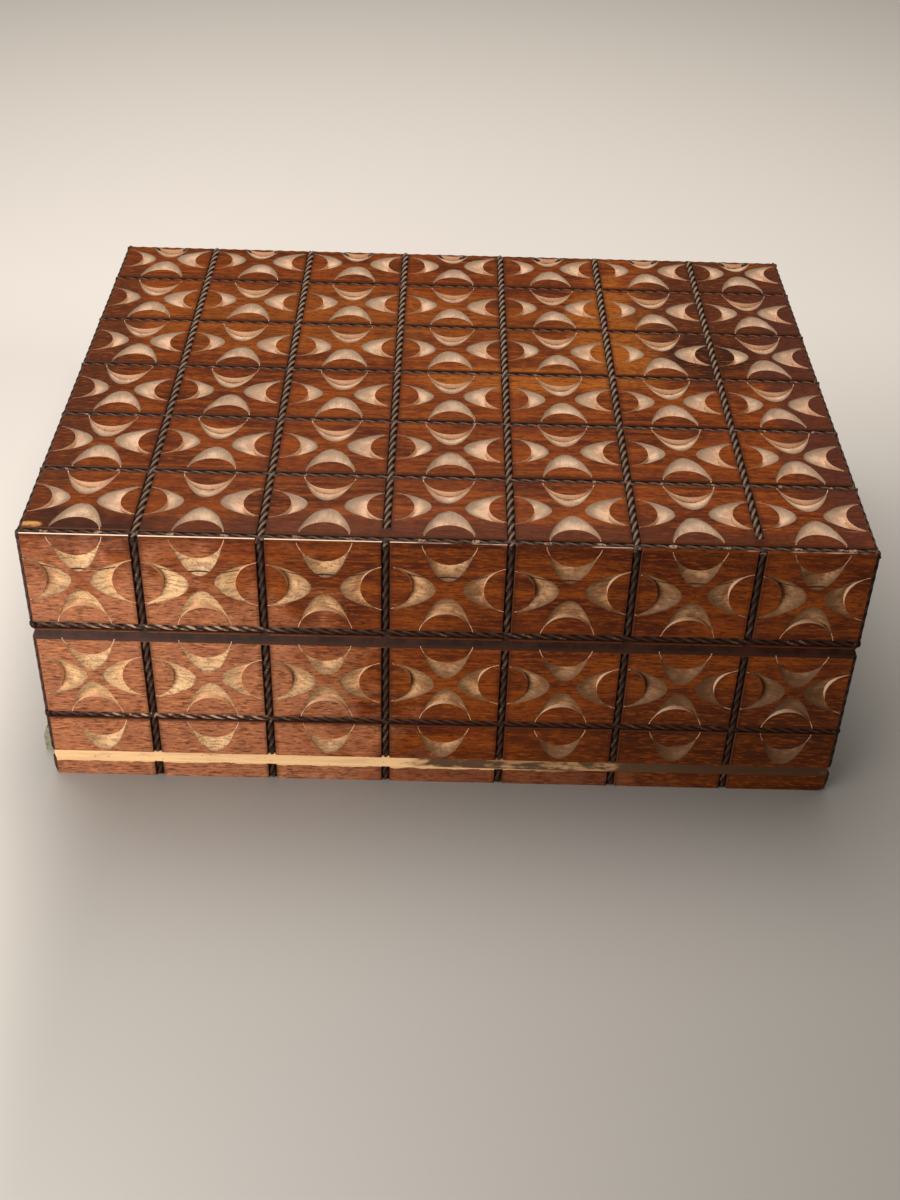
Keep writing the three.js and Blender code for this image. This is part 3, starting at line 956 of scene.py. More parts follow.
@dataclass(frozen=True)
class EndWood:
    """The raw end of the tray's strip, coloured grey-green as painted shade: raw wood in shade, tinted by
    the grey floor's reflection.
    """

    name: str = "end_wood"
    # Painted shade: the colours of raw wood in shade, with the grey floor's reflection.
    shaded_grey: Colour = stain(138, 138, 118)
    dark: Colour = stain(92, 90, 74)

    def material(self) -> bpy.types.Material:
        """Makes the finish.

        Returns:
            The material.
        """
        bench = Bench(self.name)
        fleck = bench.noise(0.5, (0.6, 1.0, 0.6), 4.0, 0.6, seed=5.0)
        cloud = bench.noise(2.0, seed=6.0)
        colour = bench.mix(fleck.rise(0.45, 0.68) * 0.7, self.shaded_grey, self.dark)
        colour = bench.mix(cloud.rise(0.5, 0.7) * 0.4, colour, self.dark)
        return bench.finish(colour, 0.7, fleck, 0.04)


@dataclass(frozen=True)
class Metal:
    """Aged metal of the hinges and nails."""

    name: str
    bright: Colour
    tarnish: Colour

    def material(self) -> bpy.types.Material:
        """Makes the finish.

        Returns:
            The material.
        """
        bench = Bench(self.name)
        cloud = bench.noise(2.2, detail=4.0, seed=3.0)
        scratch = bench.noise(0.3, (0.2, 1.0, 1.0), 2.0, seed=19.0)
        colour = bench.mix(cloud.rise(0.42, 0.68), self.bright, self.tarnish)
        return bench.finish(colour, 0.3 + cloud * 0.22 + scratch * 0.1, scratch, 0.01, metallic=1.0)


def pick(obj: bpy.types.Object) -> bpy.types.Object:
    """Selects one object alone and makes it the active one.

    Args:
        obj: The object.

    Returns:
        The same object.
    """
    bpy.ops.object.select_all(action="DESELECT")
    obj.select_set(True)
    bpy.context.view_layer.objects.active = obj
    return obj


@contextmanager
def editing(obj: bpy.types.Object) -> Iterator[None]:
    """Opens an object in edit mode for a few operators, then closes it.

    Args:
        obj: The object.

    Yields:
        Nothing, while the object is open.
    """
    pick(obj)
    bpy.ops.object.mode_set(mode="EDIT")
    yield
    bpy.ops.object.mode_set(mode="OBJECT")


def apply_modifier(obj: bpy.types.Object, kind: str, settings: dict) -> None:
    """Adds a modifier and applies it.

    Args:
        obj: The object.
        kind: The modifier's type.
        settings: Its settings by name.
    """
    pick(obj)
    modifier = obj.modifiers.new(kind.lower(), kind)
    for name, setting in settings.items():
        setattr(modifier, name, setting)
    bpy.ops.object.modifier_apply(modifier=modifier.name)


def own_copy(template: bpy.types.Object, name: str, place: Matrix = Matrix()) -> bpy.types.Object:
    """Copies an object with its own mesh, whose place goes into the mesh.

    Args:
        template: The object to copy.
        name: The copy's name.
        place: Where it goes.

    Returns:
        The copy, at the origin.
    """
    mesh = template.data.copy()
    mesh.transform(place)
    copy = bpy.data.objects.new(name, mesh)
    bpy.context.scene.collection.objects.link(copy)
    return copy


def join(first: bpy.types.Object, others: Iterable[bpy.types.Object]) -> bpy.types.Object:
    """Joins objects into the first one.

    Args:
        first: The object that stays.
        others: The objects that go into it.

    Returns:
        The first object.
    """
    pick(first)
    for other in others:
        other.select_set(True)
    bpy.ops.object.join()
    return first


def discard(*objects: bpy.types.Object) -> None:
    """Removes helper objects and their meshes.

    Args:
        objects: The helpers.
    """
    for obj in objects:
        mesh = obj.data
        bpy.data.objects.remove(obj)
        bpy.data.meshes.remove(mesh)


@dataclass(frozen=True)
class Gouge:
    """The tool marks of one crescent: a round gouge driven down to a curved stop cut.

    The gouge meets the face at the apex and goes down, tilted, to its lower end. The stop cut
    is a cylinder behind the middle of the tile's edge, where the wood stays. Lengths are in
    millimetres and the tilt in degrees.
    """

    radius: float
    tilt: float
    apex: float
    stop_radius: float
    stop_back: float
    sides: int = 60
    overshoot: float = 0.15
    lower_end: float = 2.0
    run: float = 3.0
    score_gap: float = 0.02
    score_width: float = 0.15
    score_depth: float = 0.12
    score_low: float = 0.9
    score_high: float = 2.9
    score_height: float = 2.0
    score_block: tuple[float, float] = (9.0, 3.0)
    stop_height: float = 8.0
    block_reach: float = 15.0

    def template(self, name: str, materials: list[bpy.types.Material], floor: Finish) -> bpy.types.Object:
        """Models what the gouge takes out.

        The middle of the tile's edge is the origin, the crescent points along +Y,
        and the wood's face is the plane z = 0.

        Args:
            name: The template's name.
            materials: The finishes of the boards.
            floor: The finish of the gouged floor.

        Returns:
            A closed body, with the finish numbers of its floor, its stop wall and its scored line.
        """
        slope = math.radians(self.tilt)
        down = Vector((0, -math.cos(slope), -math.sin(slope)))
        up = Vector((0, -math.sin(slope), math.cos(slope)))
        reach = (self.apex - self.lower_end) / math.cos(slope)
        middle = Vector((0, self.apex, 0)) + up * self.radius + down * (reach - self.run) / 2
        gouge = self.cylinder(name, self.radius, reach + self.run, middle, slope - math.pi / 2)
        heel = Vector((0, -self.stop_back, 0))
        stop = self.cylinder(f"{name}_stop", self.stop_radius, self.stop_height, heel, 0.0)
        score = self.score(f"{name}_score")
        for obj, finish in ((gouge, floor), (stop, Finish.STOPPED), (score, Finish.SCORED)):
            for material in materials:
                obj.data.materials.append(material)
            for polygon in obj.data.polygons:
                polygon.material_index = finish.value
        far = self.block_reach
        below = self.block(f"{name}_below", Vector((-far, -far, -far)), Vector((far, far, self.overshoot)))
        self.combine(gouge, (("DIFFERENCE", stop), ("UNION", score), ("INTERSECT", below)))
        return gouge

    def score(self, name: str) -> bpy.types.Object:
        """Models the fine line in which the stop cut runs on from the horns to the tile's edge.

        Args:
            name: Its name.

        Returns:
            Two short curved bars that sink a little into the face.
        """
        middle = Vector((0, -self.stop_back, self.score_height / 2 - self.score_depth))
        near = self.stop_radius + self.score_gap
        line = self.cylinder(name, near + self.score_width, self.score_height, middle, 0.0)
        core = self.cylinder(f"{name}_core", near, self.score_height * 2, middle, 0.0)
        wide, tall = self.score_block
        low, high = Vector((-wide, self.score_low, -tall)), Vector((wide, self.score_high, tall))
        stretch = self.block(f"{name}_stretch", low, high)
        self.combine(line, (("DIFFERENCE", core), ("INTERSECT", stretch)))
        return line

    def combine(self, made: bpy.types.Object, steps: Iterable[tuple[str, bpy.types.Object]]) -> None:
        """Applies booleans to a body and removes the bodies that they take.

        Args:
            made: The body that is changed.
            steps: Each operation and its other body.
        """
        for operation, other in steps:
            apply_modifier(made, "BOOLEAN", {"operation": operation, "solver": "MANIFOLD", "object": other})
            discard(other)

    def block(self, name: str, low: Vector, high: Vector) -> bpy.types.Object:
        """Adds a block.

        Args:
            name: Its name.
            low: Its lowest corner.
            high: Its highest corner.

        Returns:
            The block, with its place in its mesh.
        """
        bpy.ops.object.select_all(action="DESELECT")
        bpy.ops.mesh.primitive_cube_add(size=1.0, location=(low + high) / 2 * MM, scale=(high - low) * MM)
        made = bpy.context.active_object
        made.name = name
        bpy.ops.object.transform_apply(location=True, rotation=True, scale=True)
        return made

    def cylinder(
        self, name: str, radius: float, length: float, middle: Vector, turn: float
    ) -> bpy.types.Object:
        """Adds a cylinder.

        Args:
            name: Its name.
            radius: Its radius.
            length: Its length.
            middle: Its middle.
            turn: Its turn about X in radians.

        Returns:
            The cylinder, with its place in its mesh.
        """
        bpy.ops.object.select_all(action="DESELECT")
        bpy.ops.mesh.primitive_cylinder_add(
            vertices=self.sides,
            radius=radius * MM,
            depth=length * MM,
            location=middle * MM,
            rotation=(turn, 0, 0),
        )
        made = bpy.context.active_object
        made.name = name
        bpy.ops.object.transform_apply(location=True, rotation=True, scale=True)
        return made


@dataclass
class Hand:
    """A repeatable source of small slips, drawn in the same order as in the CAD source."""

    state: int = 11
    factor: int = 16807
    modulus: int = 2147483647

    def slip(self, most: float) -> float:
        """A number between -most and most."""
        self.state = self.state * self.factor % self.modulus
        return (2 * self.state / self.modulus - 1) * most


@dataclass(frozen=True)
class Crescent:
    """One crescent on the box: where it is and which template it takes."""

    face: Face
    template: bpy.types.Object
    place: Matrix
    height: float


@dataclass
class Carving:
    """The crescents of every tile, with the gouges of the CAD source."""

    top_gouges: dict[Way, Gouge] = field(
        default_factory=lambda: {
            Way.BELOW: Gouge(6.4, 16.5, 8.45, 4.5, 0.25),
            Way.ABOVE: Gouge(6.4, 16.5, 8.6, 4.7, 0.0),
            Way.LEFT: Gouge(6.1, 17.5, 7.55, 4.4, 0.0),
            Way.RIGHT: Gouge(6.4, 16.5, 8.2, 4.4, 0.45),
        }
    )
    side_gouges: dict[Way, Gouge] = field(
        default_factory=lambda: {
            Way.BELOW: Gouge(6.6, 16.0, 8.5, 4.8, 0.0),
            Way.ABOVE: Gouge(6.5, 16.0, 8.4, 4.8, 0.0),
            Way.LEFT: Gouge(6.4, 16.5, 8.8, 4.5, 0.0),
            Way.RIGHT: Gouge(6.4, 16.5, 8.4, 4.7, 0.0),
        }
    )
    shift: float = 0.24
    depth: float = 0.07
    turn: float = 2.2
    hand: Hand = field(default_factory=Hand)
    crescents: list[Crescent] = field(default_factory=list)
    templates: dict[tuple[bool, Way], bpy.types.Object] = field(default_factory=dict)

    def build(self, materials: list[bpy.types.Material]) -> None:
        """Models the templates and lays out the crescents of all five faces.

        Args:
            materials: The finishes of the boards.
        """
        for is_top, gouges in ((True, self.top_gouges), (False, self.side_gouges)):
            for way, gouge in gouges.items():
                name = f"{'top' if is_top else 'side'}_gouge_{way.name.lower()}"
                self.templates[is_top, way] = gouge.template(name, materials, Finish.gouged(is_top, way))
        self.lay_tiles(Face.TOP, GRID.column_edges, GRID.top_edges)
        for face in SIDES:
            edges = GRID.tile_edges(face)
            self.lay_tiles(face, edges, GRID.lid_row)
            self.lay_tiles(face, edges, GRID.body_row)
            for left, right in zip(edges, edges[1:]):
                self.lay(face, (left + right) / 2, GRID.body_row[0], Way.ABOVE)

    def lay_tiles(self, face: Face, columns: Sequence[float], rows: Sequence[float]) -> None:
        """Lays out four crescents in each tile of a face.

        Args:
            face: The face.
            columns: The edges of the tiles across.
            rows: The edges of the tiles upwards.
        """
        for left, right in zip(columns, columns[1:]):
            for low, high in zip(rows, rows[1:]):
                middle, centre = (left + right) / 2, (low + high) / 2
                self.lay(face, middle, low, Way.BELOW)
                self.lay(face, middle, high, Way.ABOVE)
                self.lay(face, left, centre, Way.LEFT)
                self.lay(face, right, centre, Way.RIGHT)

    def lay(self, face: Face, across: float, upward: float, way: Way) -> None:
        """Places one crescent, a little off the middle of its edge as by hand.

        Args:
            face: The face.
            across: The middle of the edge along the columns.
            upward: The middle of the edge along the rows.
            way: The edge that it starts from.
        """
        normal, outward = face.normal, way.outward(face)
        flat = Vector(n * h for n, h in zip(normal, GRID.halves))
        lateral = outward.cross(normal)
        centre = flat + face.columns * across + face.rows * upward
        centre += lateral * self.hand.slip(self.shift)
        centre += outward * self.hand.slip(self.shift)
        centre += normal * self.hand.slip(self.depth)
        basis = Matrix((lateral, outward, normal)).transposed().to_4x4()
        turned = Matrix.Rotation(math.radians(self.hand.slip(self.turn)), 4, "Z")
        place = Matrix.Translation(centre * MM) @ basis @ turned
        template = self.templates[face is Face.TOP, way]
        self.crescents.append(Crescent(face, template, place, (flat + face.rows * upward).z))

    def cutter(self, name: str, test: Callable[[Crescent], bool]) -> bpy.types.Object | None:
        """Joins the crescents that pass a test into one cutting body.

        Args:
            name: The cutter's name.
            test: Says which crescents go in.

        Returns:
            The cutter, or None where no crescent passes.
        """
        copies = [own_copy(c.template, name, c.place) for c in self.crescents if test(c)]
        return join(copies[0], copies[1:]) if copies else None

    def clear(self) -> None:
        """Removes the templates."""
        discard(*self.templates.values())
        self.templates.clear()
        self.crescents.clear()


@dataclass
class RopeLines:
    """Twisted lines that fill the channels, modelled once for each length.

    A strand makes a whole turn in the lay length. The groove and the shoulder are how far the
    rope reaches between and beside the crests of its strands, as parts of its radius.
    """

    strands: int = 3
    lay_length: float = 7.88
    step: float = 0.36
    groove: float = 0.62
    shoulder: float = 0.9
    chance: random.Random = field(default_factory=lambda: random.Random(5))
    templates: dict[tuple[float, float], bpy.types.Object] = field(default_factory=dict)
    materials: dict[str, bpy.types.Material] = field(default_factory=dict)

    def build(self) -> None:
        """Makes the finishes."""
        self.materials["bold"] = RopeStrands("bold_rope").material()
        self.materials["faint"] = RopeStrands(
            "faint_rope",
            gap=stain(38, 19, 10),
            strand=stain(70, 38, 23),
            lit_top_strand=stain(96, 72, 56),
            far_strand=stain(112, 62, 32),
            worn=stain(132, 98, 70),
        ).material()
        self.materials["edge"] = RopeStrands(
            "edge_rope",
            lit_top_strand=stain(84, 62, 48),
            far_strand=stain(92, 70, 56),
            worn=stain(112, 88, 70),
        ).material()

    def template(self, length: float, radius: float) -> bpy.types.Object:
        """Models a rope of three strands along Z by screwing a lobed circle up.

        Args:
            length: The rope's length.
            radius: Its radius over the strands.

        Returns:
            The rope, with how proud each point stands in the attribute strand.
        """
        key = (round(length, 2), radius)
        if key in self.templates:
            return self.templates[key]
        bpy.ops.object.select_all(action="DESELECT")
        bpy.ops.mesh.primitive_circle_add(vertices=4 * self.strands, radius=radius * MM)
        rope = bpy.context.active_object
        for offset, factor in ((2, self.groove), (1, self.shoulder), (3, self.shoulder)):
            with editing(rope):
                bpy.ops.mesh.select_mode(type="VERT")
                bpy.ops.mesh.select_all(action="DESELECT")
            for vertex in rope.data.vertices:
                vertex.select = vertex.index % 4 == offset
            with editing(rope):
                bpy.ops.transform.resize(value=(factor, factor, 1), center_override=(0, 0, 0))
        steps = max(2, round(length / self.step))
        twist = {
            "axis": "Z",
            "angle": math.tau * length / self.lay_length,
            "screw_offset": length * MM,
            "steps": steps,
            "render_steps": steps,
            "use_smooth_shade": True,
        }
        apply_modifier(rope, "SCREW", twist)
        with editing(rope):
            bpy.ops.mesh.select_mode(type="EDGE")
            bpy.ops.mesh.select_all(action="DESELECT")
            bpy.ops.mesh.select_non_manifold()
            bpy.ops.mesh.fill_holes(sides=4 * self.strands)
            bpy.ops.mesh.select_all(action="SELECT")
            bpy.ops.mesh.normals_make_consistent(inside=False)
        proud = rope.data.attributes.new("strand", "FLOAT", "POINT")
        low = self.groove * radius * MM
        span = radius * MM - low
        for vertex, entry in zip(rope.data.vertices, proud.data):
            entry.value = max(0.0, min(1.0, (vertex.co.xy.length - low) / span))
        self.templates[key] = rope
        return rope

    def lay(
        self, start: "Vector | Triple", end: "Vector | Triple", radius: float, kind: str
    ) -> bpy.types.Object:
        """Lays a rope between two points.

        Args:
            start: Where it starts, in millimetres.
            end: Where it ends.
            radius: Its radius.
            kind: Its finish: bold, faint or edge.

        Returns:
            The rope.
        """
        first, last = Vector(start), Vector(end)
        run = last - first
        turn = run.to_track_quat("Z", "Y").to_matrix().to_4x4()
        roll = Matrix.Rotation(self.chance.uniform(0, math.tau), 4, "Z")
        place = Matrix.Translation(first * MM) @ turn @ roll
        rope = own_copy(self.template(run.length, radius), f"rope_{kind}", place)
        rope.data.materials.append(self.materials[kind])
        return rope

    def clear(self) -> None:
        """Removes the templates."""
        discard(*self.templates.values())
        self.templates.clear()


@dataclass
class Board:
    """One board of the box: a merged copy of its CAD node, carved and dressed.

    The angles below which its faces are merged or smoothed are in degrees. The limits that
    sort its faces are heights and depths in millimetres, and parts of a normal.
    """

    node: str
    body: str
    materials: list[bpy.types.Material]
    obj: bpy.types.Object | None = None
    merge_below: float = 1e-6
    flat_below: float = 0.5
    smooth_below: float = 12.0
    flush: float = 0.01
    straight: float = 0.99
    rising: float = 0.1
    channel_floor: tuple[float, float] = (0.7, 0.9)
    channel_depth: float = 0.97
    front_arris: tuple[float, float] = (-57.8, 56.0)
    arris_slope: float = 0.3
    bevel: tuple[float, float] = (33.0, 35.2)
    foot_bevel: tuple[float, float] = (3.7, 6.1)

    def build(self) -> "Board":
        """Copies the node, merges it and sorts its faces by their finish.

        Returns:
            The board.
        """
        self.obj = own_copy(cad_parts[self.node], f"{self.node}_carved")
        self.obj.data.materials.clear()
        for material in self.materials:
            self.obj.data.materials.append(material)
        pick(self.obj)
        bpy.ops.mesh.customdata_custom_splitnormals_clear()
        with editing(self.obj):
            bpy.ops.mesh.select_all(action="SELECT")
            bpy.ops.mesh.remove_doubles(threshold=self.merge_below)
            bpy.ops.mesh.dissolve_limited(angle_limit=math.radians(self.flat_below))
        for polygon in self.obj.data.polygons:
            finish = self.finish_of(polygon.center / MM, polygon.normal)
            polygon.material_index = finish.value
        return self

    def finish_of(self, centre: Vector, normal: Vector) -> Finish:
        """Tells which finish a face of the CAD node has.

        Args:
            centre: The face's centre in millimetres.
            normal: Its normal.

        Returns:
            The finish.
        """
        depths = {
            Finish.SIDE: GRID.half_width - abs(centre.x),
            Finish.FRONT: GRID.half_depth - abs(centre.y),
            Finish.TOP: GRID.top - centre.z,
        }
        axes = {Finish.SIDE: normal.x * centre.x, Finish.FRONT: normal.y * centre.y, Finish.TOP: normal.z}
        for finish, depth in depths.items():
            if abs(depth) < self.flush and axes[finish] > 0:
                return finish
        least, most = self.channel_floor
        if abs(normal.z) > self.straight and not least < depths[Finish.TOP] < most:
            return Finish.INNER
        before, above = self.front_arris
        if centre.y < before and centre.z > above and normal.z > self.arris_slope:
            return Finish.FRONT
        if min(depths.values()) >= self.channel_depth:
            return Finish.INNER
        for finish, (low, high) in ((Finish.BEVEL, self.bevel), (Finish.BARE, self.foot_bevel)):
            if low < centre.z < high and normal.z > self.rising:
                return finish
        return Finish.LINE

    def carve(self, carving: Carving, test: Callable[[Crescent], bool]) -> None:
        """Cuts the crescents that pass a test out of the board.

        Args:
            carving: The crescents.
            test: Says which of them cut this board.
        """
        cutter = carving.cutter(f"{self.node}_cutter", test)
        if cutter is None:
            return
        settings = {"operation": "DIFFERENCE", "solver": "MANIFOLD", "object": cutter}
        apply_modifier(self.obj, "BOOLEAN", settings)
        discard(cutter)

    def finish(self, ropes: Iterable[bpy.types.Object] = (), slot: str = "stained_wood") -> None:
        """Smooths the board, joins its ropes to it and puts it in its node's place.

        Args:
            ropes: The ropes that lie in its channels.
            slot: Not used.
        """
        pick(self.obj)
        bpy.ops.object.shade_smooth_by_angle(angle=math.radians(self.smooth_below))
        join(self.obj, ropes)
        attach(self.obj, self.body)
        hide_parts(self.node)
        log.info("%s: %d faces", self.obj.name, len(self.obj.data.polygons))


@dataclass
class Lines:
    """Where the ropes lie: how deep, how thick, and where they stop.

    Some of the ropes along the top's depth start short of the front, by their number.
    """

    ropes: RopeLines
    bold: float = 0.72
    faint: float = 0.7
    arris: float = 0.62
    sunk: float = 0.75
    faint_sunk: float = 0.79
    arris_sunk: float = 0.68
    end: float = 0.05
    short: dict[int, float] = field(default_factory=lambda: {2: 4.15, 5: 3.85})

    def uprights(self, face: Face, low: float, high: float) -> list[bpy.types.Object]:
        """Lays bold ropes up one of the four sides, on each of its lines.

        Args:
            face: The side.
            low: The height where they start.
            high: The height where they end.

        Returns:
            The ropes.
        """
        laid = []
        for across in GRID.uprights(face):
            foot = self.on_face(face, across, low, self.sunk)
            head = self.on_face(face, across, high, self.sunk)
            laid.append(self.ropes.lay(foot, head, self.bold, "bold"))
        return laid

    def level(
        self, face: Face, height: float, left: float, right: float, radius: float, sunk: float, kind: str
    ) -> bpy.types.Object:
        """Lays a rope level along one of the four sides.

        Args:
            face: The side.
            height: The rope's height.
            left: Where it starts along the columns.
            right: Where it ends.
            radius: Its radius.
            sunk: Its depth.
            kind: Its finish: bold, faint or edge.

        Returns:
            The rope.
        """
        start = self.on_face(face, left, height, sunk)
        end = self.on_face(face, right, height, sunk)
        return self.ropes.lay(start, end, radius, kind)

    def on_face(self, face: Face, across: float, upward: float, sunk: float) -> Vector:
        """A point below a face.

        Args:
            face: The face.
            across: Its place along the columns.
            upward: Its place along the rows.
            sunk: Its depth.

        Returns:
            The point in millimetres.
        """
        sign = 1 if sum(face.normal) > 0 else -1
        flat = Vector(abs(n) * (h - sunk) for n, h in zip(face.normal, GRID.halves)) * sign
        return flat + face.columns * across + face.rows * upward

    def corners(self, face: Face, spans: Sequence[tuple[float, float]]) -> list[bpy.types.Object]:
        """Lays the ropes up the two corners at the ends of the front or the back.

        Args:
            face: The side. The left and right sides have no corners of their own.
            spans: The heights that each rope runs between.

        Returns:
            The ropes, from the left.
        """
        if not face.is_long:
            return []
        x = GRID.half_width - self.arris_sunk
        y = (GRID.half_depth - self.arris_sunk) * face.normal.y
        return [
            self.ropes.lay((side * x, y, low), (side * x, y, high), self.arris, "edge")
            for side in (-1, 1)
            for low, high in spans
        ]

    def top(self) -> list[bpy.types.Object]:
        """Lays the ropes on the top, with one beside its front arris and one in each other arris.

        Returns:
            The ropes.
        """
        long, wide = GRID.half_depth - self.end, GRID.half_width - self.end
        level, deep, rim = (GRID.top - sunk for sunk in (self.sunk, self.faint_sunk, self.arris_sunk))
        laid = []
        for number, x in enumerate(GRID.column_lines):
            start = self.short.get(number, 0.0) - long
            laid.append(self.ropes.lay((x, start, level), (x, long, level), self.bold, "bold"))
        for y in GRID.row_lines:
            laid.append(self.ropes.lay((-wide, y, deep), (wide, y, deep), self.faint, "faint"))
        y = GRID.front_line
        laid.append(self.ropes.lay((-wide, y, level), (wide, y, level), self.bold, "edge"))
        y, x = GRID.half_depth - self.arris_sunk, GRID.half_width - self.arris_sunk
        laid.append(self.ropes.lay((-wide, y, rim), (wide, y, rim), self.arris, "edge"))
        for side in (-x, x):
            laid.append(self.ropes.lay((side, -long, rim), (side, long, rim), self.arris, "edge"))
        return laid


@dataclass
class Lid:
    """The lid: the carved top board on four carved rails.

    Crescents that lie above the board's foot reach the top board.
    """

    materials: list[bpy.types.Material]
    carving: Carving
    lines: Lines
    board_foot: float = 44.0
    back_level: float = 36.98
    back_radius: float = 0.58
    back_sunk: float = 0.64
    low: float = 37.1
    corner_low: float = 37.35
    high: float = 55.85
    side_stop: float = 57.2
    hinges: tuple[float, float] = (33.3, 53.9)

    def build(self) -> None:
        """Builds the top board and the rails."""
        board = Board("lid_top_board", "lid", self.materials).build()
        board.carve(self.carving, lambda c: c.face is Face.TOP or c.height > self.board_foot)
        board.finish(self.lines.top())
        for face in SIDES:
            rail = Board(f"lid_{face.name.lower()}_rail", "lid", self.materials).build()
            rail.carve(self.carving, lambda c, face=face: c.face in face.cut_by and c.height > GRID.parting)
            rail.finish(self.ropes(face))

    def ropes(self, face: Face) -> list[bpy.types.Object]:
        """The ropes of one side of the lid.

        Args:
            face: The side.

        Returns:
            The ropes.
        """
        lines = self.lines
        laid = lines.uprights(face, self.low, self.high)
        reach = GRID.half_length(face) - lines.end
        if face is Face.BACK:
            near, far = self.hinges
            look = (self.back_radius, self.back_sunk, "bold")
            for left, right in ((-reach, -far), (-near, near), (far, reach)):
                laid.append(lines.level(face, self.back_level, left, right, *look))
        else:
            # A side's rope stops short of the back, where the body's edge comes close when the lid is open
            stop = reach if face.is_long else self.side_stop
            laid.append(lines.level(face, GRID.lid_row[0], -reach, stop, lines.bold, lines.sunk, "bold"))
        return laid + lines.corners(face, [(self.corner_low, self.high)])


@dataclass
class Body:
    """The body: four carved walls."""

    materials: list[bpy.types.Material]
    carving: Carving
    lines: Lines
    low: float = 6.06
    high: float = 33.05
    gap: float = 0.85

    def build(self) -> None:
        """Builds the walls."""
        for face in SIDES:
            wall = Board(f"body_{face.name.lower()}_wall", "box", self.materials).build()
            wall.carve(self.carving, lambda c, face=face: c.face in face.cut_by and c.height < GRID.parting)
            wall.finish(self.ropes(face))

    def ropes(self, face: Face) -> list[bpy.types.Object]:
        """The ropes of one side of the body.

        Args:
            face: The side.

        Returns:
            The ropes.
        """
        lines = self.lines
        laid = lines.uprights(face, self.low, self.high)
        reach = GRID.half_length(face) - lines.end
        level = GRID.body_row[0]
        laid.append(lines.level(face, level, -reach, reach, lines.faint, lines.faint_sunk, "faint"))
        return laid + lines.corners(face, [(self.low, level - self.gap), (level + self.gap, self.high)])


@dataclass
class Base:
    """The base: a strip under three walls, and the end of the tray under the fourth.

    The tray's end stands out from the left side by its shift.
    """

    materials: list[bpy.types.Material]
    lines: Lines
    low: float = 0.15
    high: float = 3.65
    tray_shift: float = -3.0
    tray_skin: float = 1.0
    tray_ends: float = 51.0
    bevel_foot: float = 3.7

    def build(self) -> None:
        """Builds the strips and the tray's end."""
        for face in (Face.FRONT, Face.BACK, Face.RIGHT):
            strip = Board(f"base_{face.name.lower()}_strip", "box", self.materials).build()
            strip.finish(self.lines.uprights(face, self.low, self.high))
        end = Board("tray_end_strip", "tray", self.materials).build()
        for polygon in end.obj.data.polygons:
            polygon.material_index = self.end_finish(polygon.center / MM, polygon.normal).value
        ropes = self.lines.uprights(Face.LEFT, self.low, self.high)
        for rope in ropes:
            rope.data.transform(Matrix.Translation((self.tray_shift * MM, 0, 0)))
        end.finish(ropes)

    def end_finish(self, centre: Vector, normal: Vector) -> Finish:
        """Tells which finish a face of the tray's end has.

        Args:
            centre: The face's centre in millimetres.
            normal: Its normal.

        Returns:
            The finish.
        """
        outer = self.tray_shift - GRID.half_width
        if abs(normal.y) > Board.straight and abs(centre.y) > self.tray_ends:
            return Finish.END
        if normal.x < -Board.straight and abs(centre.x - outer) < Board.flush:
            return Finish.SIDE
        if centre.x < outer + self.tray_skin and abs(normal.z) < Board.straight:
            is_bevel = centre.z > self.bevel_foot and normal.z > Board.rising
            return Finish.BARE if is_bevel else Finish.LINE
        return Finish.INNER


@dataclass
class Fittings:
    """The nodes that stay as the CAD drew them and get a finish."""

    def build(self) -> None:
        """Dresses the hinges, nails, pins, floor panel and tray board."""
        brass = Metal("brass", stain(190, 156, 92), stain(112, 84, 46)).material()
        steel = Metal("steel", stain(168, 164, 156), stain(96, 88, 80)).material()
        panel = PlainWood("panel_wood", Grain.ALONG_WIDTH).material()
        for name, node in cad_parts.items():
            if "hinge_pin" in name or "leaf" in name:
                self.dress(node, brass)
            elif "nail" in name or name == "tray_stop_pin":
                self.dress(node, steel)
            elif name in ("floor_panel", "tray_board"):
                self.dress(node, panel)

    def dress(self, node: bpy.types.Object, material: bpy.types.Material) -> None:
        """Gives a node its material.

        Args:
            node: The CAD node.
            material: Its finish.
        """
        node.data.materials.clear()
        node.data.materials.append(material)
        log.info("%s: %s", node.name, material.name)


@dataclass(frozen=True)
class Lamp:
    """A soft square lamp, placed and aimed in millimetres, with its power in watts."""

    name: str
    place: Triple
    size: float
    power: float
    target: Triple
    colour: Triple = (1.0, 0.95, 0.88)

    def hang(self) -> None:
        """Adds the lamp to the scene."""
        data = bpy.data.lights.new(self.name, "AREA")
        data.energy, data.size, data.color = self.power, self.size * MM, self.colour
        lamp = bpy.data.objects.new(self.name, data)
        lamp.location = Vector(self.place) * MM
        lamp.rotation_mode = "QUATERNION"
        lamp.rotation_quaternion = (Vector(self.target) - Vector(self.place)).to_track_quat("-Z", "Y")
        bpy.context.scene.collection.objects.link(lamp)


